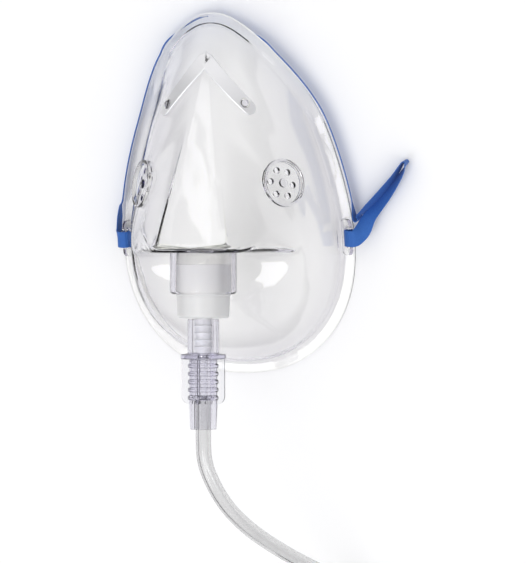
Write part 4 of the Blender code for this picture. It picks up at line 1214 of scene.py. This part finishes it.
# %% The strap's weave and dye
BAND_STEP = 0.45 * MM
YARN_PITCH = 0.8 * MM
YARN_RADIUS = 0.3 * MM
THREADS = 7
CORE_SHARE = 0.82


def band_core(frames):
    """The band's body, with one low ridge for each thread on both of its faces."""
    reach = STRAP_WIDTH / 2 * 0.97
    face = []
    for k in range(THREADS * 4 + 1):
        x = -1 + 2 * k / (THREADS * 4)
        ridge = 0.86 + 0.14 * abs(math.sin(math.pi * THREADS * (x + 1) / 2))
        edge = min(1.0, (1 - abs(x)) * 9 + 0.35)
        face.append((x * reach, BAND_THICK / 2 * CORE_SHARE * ridge * edge))
    section = face + [(x, -y) for x, y in reversed(face)]
    return swept([[at @ Vector((x, y, 0)) for x, y in section] for at in frames])


YARNS = new_tree(
    "crossing_yarns",
    {"Points": "Geometry", "Yarn Radius": "Float", "Yarn Length": "Float", "Height": "Float",
     "Finish": "Material"},
    {"yarn": "GeometryNodeMeshCylinder", "lay": "GeometryNodeTransform",
     "turn": "GeometryNodeInputNamedAttribute", "stretch": "ShaderNodeCombineXYZ"},
    {"yarn": {"Vertices": 8}, "lay": {"Rotation": (0, math.pi / 2, 0)},
     "turn": {"data_type": "FLOAT_VECTOR", "Name": "turn"}, "stretch": {"X": 1.0, "Z": 1.0}},
    [("given", "Yarn Radius", "yarn", "Radius"), ("given", "Yarn Length", "yarn", "Depth"),
     ("yarn", "Mesh", "lay", "Geometry"), ("given", "Height", "stretch", "Y"),
     ("given", "Points", "copies", "Points"), ("lay", 0, "copies", "Instance"), ("turn", 0, "spin", 0),
     ("stretch", 0, "copies", "Scale")])
blue_fibre = new_material(
    "blue_fibre", {**NOISE, "tone": "ShaderNodeMix"},
    {SHADER: {"Roughness": 0.7, "Sheen Weight": 0.1}, "noise": {"Scale": 2600.0, "Detail": 2.0},
     "tone": {"data_type": "RGBA", "A": (0.012, 0.085, 0.36, 1), "B": (0.03, 0.155, 0.52, 1)},
     "bump": {"Distance": 0.04 * MM}},
    [("noise", "Fac", "tone", "Factor"), ("tone", "Result", SHADER, "Base Color")] + NOISE_LINKS)
strap = new_piece("woven_head_strap", band_core(strap_frames(BAND_STEP)), blue_fibre)
yarn_frames = strap_frames(YARN_PITCH)
yarn_points = bpy.data.meshes.new("yarn_points")
yarn_points.from_pydata([at.translation for at in yarn_frames], [], [])
turns_at = yarn_points.attributes.new("turn", "FLOAT_VECTOR", "POINT")
for item, at in zip(turns_at.data, yarn_frames):
    item.vector = at.to_euler()
yarns = add_object("yarns", yarn_points)
run_tree(yarns, YARNS, {"Yarn Radius": YARN_RADIUS, "Yarn Length": STRAP_WIDTH * 0.94,
                        "Height": BAND_THICK / 2 / YARN_RADIUS, "Finish": blue_fibre})
woven = bmesh.new()
woven.from_mesh(strap.data)
woven.from_mesh(yarns.data)
woven.to_mesh(strap.data)
woven.free()
bpy.data.objects.remove(yarns)
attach(strap, "root")
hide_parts("head_strap")
print("strap:", len(strap.data.polygons), "faces,", len(yarn_frames), "yarns")
